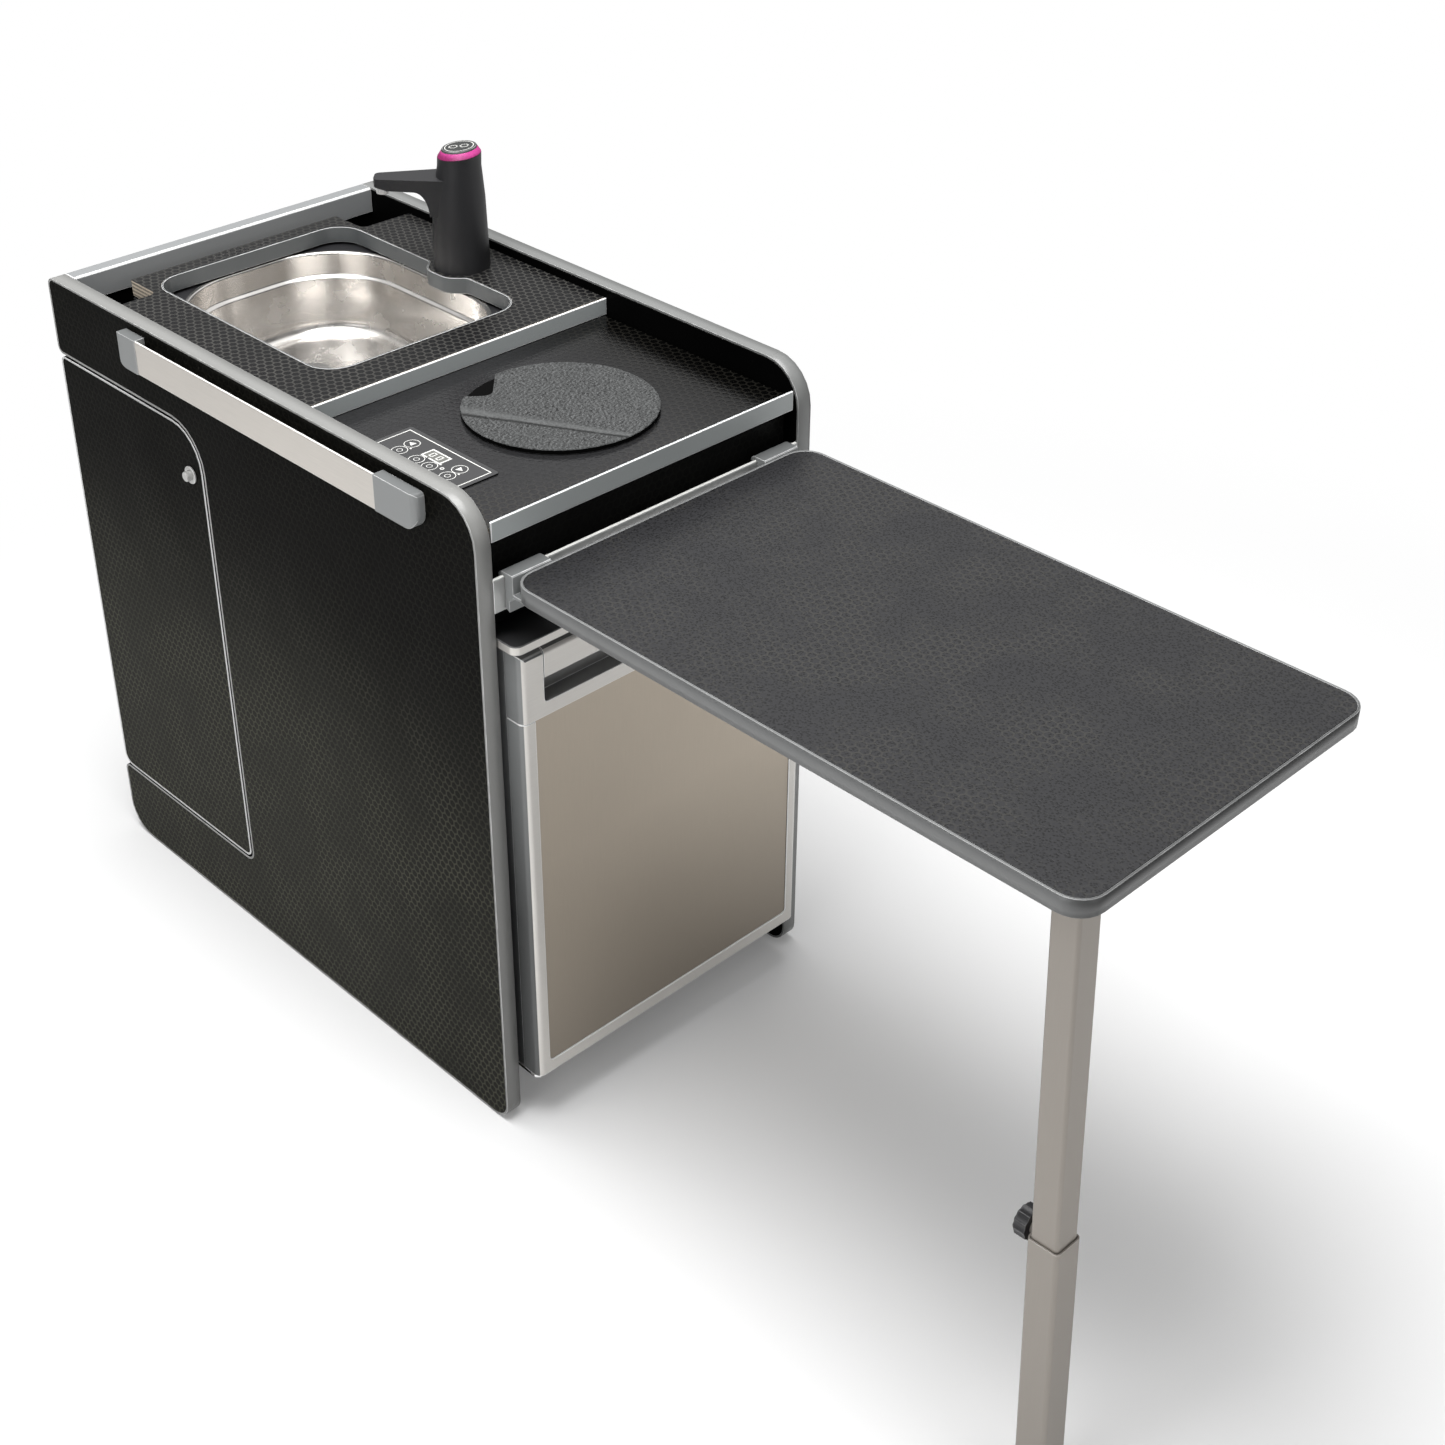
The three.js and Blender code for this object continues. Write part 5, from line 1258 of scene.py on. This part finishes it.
class Assembly:
    """A group of pieces that belong together.

    Each row is a node's name, its finishes, how far the rounding of its edges reaches in
    millimetres, how many facets that has and, where it needs them, what picks a face's finish and
    the least turn in degrees of an edge that is rounded.
    """

    rows: Sequence[tuple] = ()

    def extras(self) -> list[bpy.types.Object]:
        """Makes the pieces that aren't rounded copies of a node."""
        return []

    def dress(self) -> list[bpy.types.Object]:
        """Makes every piece of the group."""
        return self.extras() + [FORMS.refine(node, *settings) for node, *settings in self.rows]


class Carcass(Assembly):
    """Side panels with their edging, the back, the base and the fascia."""

    rows = (
        ("near_side_panel", [BLACK_SIDE, BLACK_INNER], 0.3, 1, looks(Axis.X, 0.5)),
        ("far_side_panel", [BLACK_SIDE, BLACK_INNER], 0.3, 1, looks(Axis.X, -0.5)),
        ("near_panel_trim", [NEAR_EDGING_LIT, GAP_SHADE], 1.1, 3, opening_rim),
        ("far_panel_trim", [EDGING], 1.1, 3),
        ("back_panel", [BLACK_BACK, BLACK_INNER], 0.3, 1, lambda f: int(f.normal.y < 0.5)),
        # the trim's rounded front top takes the painted highlight line
        ("back_edge_trim", [PLAIN_EDGING, HIGHLIGHT_LINE], 0.8, 3, lambda f: int(f.normal.z > 0.3 and f.normal.y < -0.3)),
        ("base_panel", [BLACK_BASE], 0.4, 1),
        ("fascia_panel", [BLACK_BOARD_SHADED], 0.4, 2),
    )


class Worktops(Assembly):
    """The raised sink worktop and the lower hob worktop with their edging."""

    @staticmethod
    def raw_edge(face: Face) -> int:
        """Gives 1 for the upright faces, which show the raw board."""
        return int(abs(face.normal.z) <= 0.7)

    rows = (
        ("sink_worktop", [SINK_LAMINATE, PLYWOOD], 0.3, 1, raw_edge),
        ("sink_cutout_trim", [DARK_EDGING], 0.45, 2),
        ("sink_board", [MATTE_BLACK], 0.4, 2),
        ("step_trim", [STEP_EDGING], 1.5, 3),
        ("hob_worktop", [HOB_LAMINATE, PLYWOOD], 0.3, 1, raw_edge),
        ("hob_front_trim", [STEP_EDGING], 0.8, 3),
    )


@dataclass
class Sink(Assembly):
    """The pressed pan, its drain and the hoses below."""

    low: Point2 = (-131.0, 337.5)
    high: Point2 = (125.0, 659.5)
    corner: float = 96.0
    rim: float = 703.0
    flange: float = 5.0
    wall: float = 1.2
    rim_roll: float = 3.0
    shoulder: float = 672.0
    shoulder_step: float = 4.0
    shoulder_height: float = 5.0
    floor: float = 607.0
    floor_roll: float = 14.0
    drain: Point2 = (-3.0, 559.5)
    drain_hole: float = 17.0

    rows = (
        ("sink_drain", [CHROME], 0.4, 2),
        ("drain_hose", [HOSE], 0.3, 1),
        ("water_hose", [HOSE], 0.3, 1),
    )

    def section(self) -> list[Point2]:
        """Lists the pan's section, from the flange over the floor and back below.

        Returns:
            How far in and how high each point is.
        """
        inside: list[Point2] = [(-self.flange, self.rim)]
        for i in range(7):
            a = math.pi / 2 * i / 6
            inside.append((self.rim_roll * (math.sin(a) - 1.0), self.rim - self.rim_roll * (1.0 - math.cos(a))))
        for i in range(9):
            share = i / 8
            eased = share * share * (3.0 - 2.0 * share)
            inside.append((self.shoulder_step * eased, self.shoulder + self.shoulder_height * (1.0 - share)))
        for i in range(9):
            a = math.pi / 2 * i / 8
            inside.append((self.shoulder_step + self.floor_roll * (1.0 - math.cos(a)),
                           self.floor + self.floor_roll * (1.0 - math.sin(a))))
        below = [(inset - self.wall, height - self.wall) for inset, height in reversed(inside[8:])]
        return inside + below + [(-self.wall, self.rim - self.wall), (-self.flange, self.rim - self.wall)]

    def outline(self, inset: float, steps: int = 14) -> list[Vector]:
        """Lists the points of the pan's outline.

        Args:
            inset: how far the outline moves inwards.
            steps: how many stretches each rounded corner has.

        Returns:
            The points, anticlockwise.
        """
        points: list[Vector] = []
        for quarter, middle in enumerate(rectangle(*self.low, *self.high, self.corner)):
            for step in range(steps + 1):
                a = math.pi + math.pi / 2 * (quarter + step / steps)
                points.append(Vector(middle) + Vector((math.cos(a), math.sin(a))) * (self.corner - inset))
        return points

    def pan(self) -> Form:
        """Makes the pan as one closed skin with a rolled rim, a soft shoulder and a hole for the drain.

        Returns:
            The form.
        """
        section = self.section()
        middle = Vector(self.drain)
        turn = section.index(max(section, key=lambda p: p[0]))
        layers: list[tuple[Sequence[Vector], float]] = []
        for i, (inset, height) in enumerate(section):
            outline = self.outline(inset)
            layers.append((outline, height))
            if i == turn:
                hole = [middle + (p - middle).normalized() * self.drain_hole for p in outline]
                layers += [(hole, height), (hole, height - self.wall)]
        return tube([[POD.at(p.x, p.y, height) for p in outline] for outline, height in layers])

    def extras(self) -> list[bpy.types.Object]:
        """Makes the pan."""
        return [FORMS.add("sink_pan_pressed", Forms.finish_mesh(self.pan(), "sink_pan_pressed", 60.0), "pod",
                          "sink_pan", [STEEL], ("sink_pan",))]


@dataclass
class Hob(Assembly):
    """Built-in hob with its control panel and the loose cover.

    An arrow has its place and which way it points, and the display its low and high corners.
    """

    low: Point2 = (-183.0, 81.0)
    high: Point2 = (-121.0, 215.0)
    top: float = 705.5
    frame_inset: float = 5.2
    frame_width: float = 1.15
    icon_radius: float = 8.2
    icon_width: float = 0.72
    print_height: float = 0.12
    arrows: tuple[Point3, ...] = ((-143.3, 184.8, 1.0), (-143.8, 111.6, -1.0))
    arrow_tip: float = 4.2
    arrow_half: float = 3.6
    arrow_base: float = 2.6
    keys: tuple[Point2, ...] = ((-160.2, 182.4), (-160.2, 156.3), (-160.2, 136.7), (-160.2, 109.6))
    key_mark: float = 0.38
    key_dot: Point3 = (9.5, -5.0, 1.1)
    display: tuple[float, float, float, float] = (-151.5, 133.0, -135.5, 161.5)
    display_rim: float = 1.8
    digit_apart: float = 5.0
    digit_half: Point2 = (3.4, 2.2)
    stroke_half: float = 0.55
    digit_lift: float = 0.1
    lamp: Point2 = (-154.8, 124.5)
    lamp_radius: float = 2.3
    lamp_width: float = 1.2

    rows = (
        ("hob_glass", [GLASS], 0.4, 2),
        ("hob_housing", [MATTE_BLACK], 0.5, 1),
        # the control panel's sides take the painted shade
        ("hob_control_panel", [BLACK_RUBBER_AND_SHADE, PANEL_FILM], 0.2, 1, looks(Axis.Z, 0.6)),
        ("disc_cover", [COVER, BLACK_RUBBER_AND_SHADE], 0.7, 3, top_or_side),
    )

    def band(self, points: Sequence[Point2], width: float) -> Form:
        """Makes a thin flat band inside a closed outline.

        Args:
            points: the outline's points.
            width: how wide the band is.

        Returns:
            The form.
        """
        inner: list[Vector] = []
        for i, point in enumerate(points):
            before, here, after = Vector(points[i - 1]), Vector(point), Vector(points[(i + 1) % len(points)])
            a, b = (here - before).normalized(), (after - here).normalized()
            normal = Vector((-(a.y + b.y), a.x + b.x)).normalized()
            inner.append(here + normal * width / max(0.4, math.cos(a.angle(b) / 2)))
        low, high = self.top, self.top + self.print_height
        return tube([[POD.at(p[0], p[1], z) for p in ring]
                     for ring, z in ((points, low), (points, high), (inner, high), (inner, low))])

    def plate(self, points: Sequence[Point2], lift: float = 0.0) -> Form:
        """Makes a thin flat plate on the panel.

        Args:
            points: the outline's points.
            lift: how far above the film it starts.

        Returns:
            The form.
        """
        form = blank_form()
        low, high = ([form.verts.new(POD.at(x, y, self.top + lift + rise)) for x, y in points]
                     for rise in (0.0, self.print_height))
        form.faces.new(high)
        form.faces.new(low[::-1])
        bridge(form, low, high)
        return form

    def prints(self) -> list[Form]:
        """Makes the pale lines, arrows and rings of the film.

        Returns:
            Their forms.
        """
        made = [self.band(rectangle(*self.low, *self.high, self.frame_inset), self.frame_width)]
        for x, y, way in self.arrows:
            made.append(self.band(circle(x, y, self.icon_radius), self.icon_width))
            back, half = y - way * self.arrow_base, way * self.arrow_half
            made.append(self.plate([(x, y + way * self.arrow_tip), (x - half, back), (x + half, back)]))
        dot_x, dot_y, dot_radius = self.key_dot
        for x, y in self.keys:
            made.append(self.band(circle(x, y, self.icon_radius), self.icon_width))
            made.append(self.band(circle(x, y, self.icon_radius * self.key_mark), self.icon_width * 0.8))
            made.append(self.plate(circle(x + dot_x, y + dot_y, dot_radius, 12)))
        made.append(self.band(circle(*self.lamp, self.lamp_radius, 18), self.lamp_width))
        made.append(self.band(rectangle(*self.display), self.display_rim))
        return made

    def segments(self) -> list[Form]:
        """Makes two plain seven-segment digits, both showing zero.

        Returns:
            The forms of their strokes.
        """
        x0, y0, x1, y1 = self.display
        (tall, wide), half = self.digit_half, self.stroke_half
        made: list[Form] = []
        for shift in (-self.digit_apart, self.digit_apart):
            for dx, dy, lx, ly in ((0.0, -wide, tall, half), (0.0, wide, tall, half),
                                   (-tall, 0.0, half, wide), (tall, 0.0, half, wide)):
                x, y = (x0 + x1) / 2 + dx, (y0 + y1) / 2 + shift + dy
                made.append(self.plate(rectangle(x - lx, y - ly, x + lx, y + ly), self.digit_lift))
        return made

    def extras(self) -> list[bpy.types.Object]:
        """Makes the film's print, its window and its digits.

        Returns:
            The pieces.
        """
        window = self.plate(rectangle(*self.display, self.display_rim))
        made: list[bpy.types.Object] = []
        for name, forms, finish in (("control_panel_print", self.prints(), PRINT),
                                    ("display_window", [window], DISPLAY_GREY),
                                    ("display_digits", self.segments(), PRINT)):
            whole = blank_form()
            for form in forms:
                part = bpy.data.meshes.new(name + "_part")
                form.to_mesh(part)
                form.free()
                whole.from_mesh(part)
                bpy.data.meshes.remove(part)
            mesh = Forms.finish_mesh(whole, name, 30.0)
            made.append(FORMS.add(name, mesh, "pod", "hob_control_panel", [finish]))
        return made


class Tap(Assembly):
    """Tap column with its spout, lit ring and touch cap."""

    rows = (
        ("tap_body", [MATTE_BLACK], 0.7, 3, None, 24.0),
        ("tap_light_ring", [LIT_RING], 0.4, 2),
        ("tap_cap", [CAP_GREY], 0.6, 3),
        ("tap_aerator", [TIP_HIGHLIGHT], 0.3, 2),
    )


class Rails(Assembly):
    """The table's front rail and the near side's hanging rail with its end caps."""

    rows = (
        # the rails' top faces take the painted highlight
        ("front_rail", [FRONT_RAIL, RAIL_LIT_TOP], 0.4, 2, looks(Axis.Z, 0.7)),
        ("side_rail", [RAIL, RAIL_LIT_TOP], 0.5, 2, looks(Axis.Z, 0.7)),
        # the caps' top faces take the painted shade
        ("side_rail_front_cap", [GREY_MOULDED, GREY_SHADED_TOP], 0.9, 3, looks(Axis.Z, 0.6)),
        ("side_rail_rear_cap", [GREY_MOULDED, GREY_SHADED_TOP], 0.9, 3, looks(Axis.Z, 0.6)),
    )


@dataclass
class SideDoor(Assembly):
    """The near side's service door with its hinge and push lock."""

    screws: int = 12
    screw_radius: float = 2.3
    screw_inset: float = 7.6
    screw_sink: float = 0.7
    screw_end: float = 18.0

    rows = (
        ("side_door", [BLACK_SIDE], 0.3, 1),
        # the door trim's faces across the gap take the painted shade
        ("side_door_trim", [DOOR_EDGING, GAP_SHADE], 0.7, 3, lambda f: int(abs(f.normal.x) < 0.6)),
        ("door_hinge_fixed", [HINGE_METAL], 0.2, 1),
        ("door_hinge_leaf", [HINGE_METAL], 0.2, 1),
        ("lock_case", [LOCK_SILVER], 0.5, 2),
        ("lock_knob", [LOCK_SILVER], 0.7, 3),
        ("lock_bolt", [CHROME], 0.3, 1),
    )

    def extras(self) -> list[bpy.types.Object]:
        """Makes the hinge leaf's screws.

        Returns:
            The one piece that holds them.
        """
        low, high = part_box("door_hinge_leaf")
        start = Vector((low.x + self.screw_inset * MM, high.y - self.screw_sink * MM, low.z + self.screw_end * MM))
        step = Vector((0.0, 0.0, (high.z - low.z - 2 * self.screw_end * MM) / (self.screws - 1)))
        mesh = Repeats.along(screw_head(self.screw_radius), "hinge_screws", HINGE_METAL, Count=self.screws,
                             Start=start, Step=step, Turn=Vector((-math.pi / 2, 0.0, 0.0)))
        return [FORMS.add("hinge_screws", mesh, "side_door", "door_hinge_leaf", [HINGE_METAL])]


@dataclass
class Fridge(Assembly):
    """Built-in fridge with its framed door and handle.

    Each block of the catch under the door has its low corner and its size; heights are from the door.
    """

    catch: tuple[tuple[Point3, Point3], ...] = (
        ((-28.0, -15.0, -3.4), (62.0, 6.0, 3.4)),
        ((-10.0, -17.5, -6.2), (2.6, 8.5, 3.2)),
        ((26.0, -17.5, -6.2), (2.6, 8.5, 3.2)),
    )
    catch_edge: float = 0.4

    rows = (
        ("fridge_case", [DARK_CASE, WHITE_LINER], 0.6, 2, liner_or_case),
        ("fridge_cover", [COVER_TOP, SILVER], 1.0, 3, lambda f: int(f.normal.z < 0.5)),
        ("fridge_evaporator", [EVAPORATOR], 0.4, 1),
        ("fridge_compressor", [MATTE_BLACK], 0.4, 1),
        ("fridge_hinge_lower", [CHROME], 0.4, 2),
        # the door core's sides take the painted shade
        ("fridge_door_core", [WHITE_LINER, SILVER_SHADED_SIDE], 0.5, 1, lambda f: int(abs(f.normal.x) > 0.7)),
        ("fridge_door_frame", [SILVER, SILVER_SHADED_SIDE, HIGHLIGHT_LINE], 0.9, 3, frame_faces),
        ("fridge_door_insert", [INSERT], 0.2, 1),
        ("fridge_handle_module", [SILVER, SLOT_GREY, SILVER_SHADED_SIDE, ROLL_SHADE], 0.7, 3, hollow_or_front),
        ("fridge_door_seal", [SEAL_RUBBER], 0.5, 2),
        ("fridge_handle_flap", [SILVER, SLOT_GREY, ROLL_SHADE], 0.3, 2, flap_faces),
    )

    def extras(self) -> list[bpy.types.Object]:
        """Makes the small dark catch under the door's bottom rail.

        Returns:
            The piece.
        """
        door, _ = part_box("fridge_door_frame")
        whole = blank_form()
        for low, size in self.catch:
            corner = POD.at(*low)
            corner.z = door.z + low[2] * MM
            extent = Vector(size) * MM
            matrix = Matrix.Translation(corner + extent / 2) @ Matrix.Diagonal((*extent, 1.0))
            bmesh.ops.create_cube(whole, size=1.0, matrix=matrix)
        bmesh.ops.bevel(whole, geom=whole.edges[:], offset=self.catch_edge * MM, segments=2, profile=0.5,
                        affect="EDGES")
        return [FORMS.add("door_catch", Forms.finish_mesh(whole, "door_catch", 40.0), "fridge_door",
                          "fridge_door_frame", [MATTE_BLACK])]


class Tanks(Assembly):
    """The two water cans in the side cupboard."""

    rows = (("fresh_can", [CAN], 0.8, 2), ("waste_can", [CAN], 0.8, 2))


class Table(Assembly):
    """Hung table with its hooks, edging and leg."""

    rows = (
        ("table_top", [TABLE_LAMINATE], 0.3, 1),
        ("table_trim", [TABLE_EDGING], 1.2, 4),
        # the brackets' top faces take the painted shade
        *((node, [GREY_MOULDED, GREY_SHADED_TOP], 0.5, 2, looks(Axis.Z, 0.6))
          for node in ("table_bracket_near", "table_bracket_far", "leg_hinge_bracket")),
        ("leg_tube", [LEG_METAL], 1.2, 3),
        ("leg_sleeve", [LEG_METAL], 0.9, 3),
        ("leg_foot", [SEAL_RUBBER], 1.2, 2),
        ("leg_clamp_knob", [MATTE_BLACK], 0.8, 3),
    )


# ---- studio --------------------------------------------------------------------------------------


@dataclass(frozen=True)
class Viewpoint:
    """The camera of the picture, in the pod's axes."""

    place: Point3 = (-1254.12, -1351.19, 1660.58)
    right: Point3 = (0.7179507, -0.6960907, 0.0021189)
    down: Point3 = (-0.3598559, -0.3737591, -0.8548730)
    forward: Point3 = (0.5958611, 0.6129942, -0.5188330)
    lens: float = 54.656
    sensor: float = 36.0
    shift: Point2 = (0.01682, -0.07916)
    clip: Point2 = (0.05, 60.0)


@dataclass(frozen=True)
class Lamp:
    """One soft area lamp, aimed at a place on the pod; lengths are in metres."""

    name: str
    place: Point3
    aim: Point3
    size: Point2
    watts: float


@dataclass
class Studio:
    """Floor, lamps, surroundings and camera; lengths are in metres.

    A level of the surroundings has the direction where it starts and ends, and its light there.
    """

    viewpoint: Viewpoint = Viewpoint()
    lamps: tuple[Lamp, ...] = (
        Lamp("top_softbox", (-0.35, 0.1, 3.2), (0.0, -0.1, 0.0), (2.0, 2.0), 130.0),
        Lamp("left_softbox", (-3.2, -0.5, 1.7), (0.0, 0.0, 0.5), (1.8, 1.4), 20.0),
        Lamp("front_fill", (0.2, -3.4, 1.5), (0.0, 0.0, 0.4), (2.0, 1.2), 11.0),
    )
    white: Colour = (1.0, 1.0, 1.0)
    floor_white: Colour = (0.92, 0.92, 0.92)
    floor_half: float = 12.0
    floor_drop: float = 0.0006
    shadow_middle: Point2 = (0.0, -0.2)
    shadow_reach: Point2 = (0.75, 1.8)
    sky: Level = (-0.1, 0.9, 0.12, 0.3)
    mirrored_low: Level = (0.3, 0.52, 0.2, 1.0)
    mirrored_side: Level = (-0.5, 0.9, 0.3, 1.0)
    mirrored_top: Level = (0.6, 0.85, 0.0, 1.0)

    def floor(self) -> None:
        """Adds a pale floor that fades to white away from the pod."""
        form = bmesh.new()
        bmesh.ops.create_grid(form, x_segments=8, y_segments=8, size=self.floor_half)
        mesh = bpy.data.meshes.new("studio_floor")
        form.to_mesh(mesh)
        form.free()
        piece = bpy.data.objects.new("studio_floor", mesh)
        piece.location = (0.0, 0.0, -self.floor_drop)
        bpy.context.scene.collection.objects.link(piece)
        made = bpy.data.materials.new("studio_floor")
        made.use_nodes = True
        tree = Surface(made)
        away = tree.distance(tree.x, tree.y, self.shadow_middle)
        seen = tree.make("ShaderNodeLightPath", {}, "Is Camera Ray")
        blend = tree.make("ShaderNodeMixShader", {
            0: tree.ramp(away, *self.shadow_reach, 0.1, 1.0) * seen,
            1: tree.make("ShaderNodeBsdfDiffuse", {"Color": self.floor_white}),
            2: tree.make("ShaderNodeEmission", {"Color": self.white})})
        tree.tree.nodes.remove(tree.shader)
        tree.feed(tree.tree.nodes["Material Output"], {"Surface": blend})
        mesh.materials.append(made)

    def surroundings(self) -> None:
        """Makes the white surroundings, with a softer light for everything but the camera."""
        world = bpy.data.worlds.new("studio_world")
        bpy.context.scene.world = world
        world.use_nodes = True
        tree = Tree(world.node_tree)
        x, y, z = tree.split(tree.make("ShaderNodeTexCoord", {}, "Generated"))
        sky = tree.ramp(z, *self.sky)
        backdrop = tree.ramp(x + y, *self.mirrored_side) * tree.ramp(z, *self.mirrored_low, smooth=False)
        backdrop = tree.math("MAXIMUM", backdrop, tree.ramp(z, *self.mirrored_top))
        mirrored = tree.make("ShaderNodeLightPath", {}, "Is Glossy Ray") * (backdrop - sky)
        level = tree.math("MAXIMUM", sky + mirrored, tree.make("ShaderNodeLightPath", {}, "Is Camera Ray"))
        tree.feed(world.node_tree.nodes["Background"], {"Color": self.white, "Strength": level})

    def light(self) -> None:
        """Adds the lamps."""
        for lamp in self.lamps:
            data = bpy.data.lights.new(lamp.name, "AREA")
            data.shape = "RECTANGLE"
            data.size, data.size_y = lamp.size
            data.energy = lamp.watts
            piece = bpy.data.objects.new(lamp.name, data)
            piece.location = lamp.place
            way = Vector(lamp.aim) - Vector(lamp.place)
            piece.rotation_euler = way.to_track_quat("-Z", "Y").to_euler()
            bpy.context.scene.collection.objects.link(piece)

    def camera(self) -> None:
        """Adds the camera at the picture's viewpoint."""
        view = self.viewpoint
        data = bpy.data.cameras.new("camera")
        data.lens = view.lens
        data.sensor_width = view.sensor
        data.sensor_fit = "HORIZONTAL"
        data.shift_x, data.shift_y = view.shift
        data.clip_start, data.clip_end = view.clip
        piece = bpy.data.objects.new("camera", data)
        bpy.context.scene.collection.objects.link(piece)
        turn = Matrix((Vector(view.right), -Vector(view.down), -Vector(view.forward))).transposed()
        piece.matrix_world = Matrix.Translation(POD.at(*view.place)) @ turn.to_4x4()
        bpy.context.scene.camera = piece

    def build(self) -> None:
        """Adds everything that stands round the pod."""
        self.floor()
        self.surroundings()
        self.light()
        self.camera()
        bpy.context.scene.view_settings.view_transform = "Standard"


def main() -> None:
    """Builds the dressed pod in its studio."""
    logging.basicConfig(level=logging.INFO, format="%(message)s")
    for assembly in (Carcass(), Worktops(), Sink(), Hob(), Tap(), Rails(), SideDoor(), Fridge(), Tanks(), Table()):
        for piece in assembly.dress():
            LOG.info("%s: %s", type(assembly).__name__, piece.name)
    Studio().build()


if __name__ == "__main__":
    main()
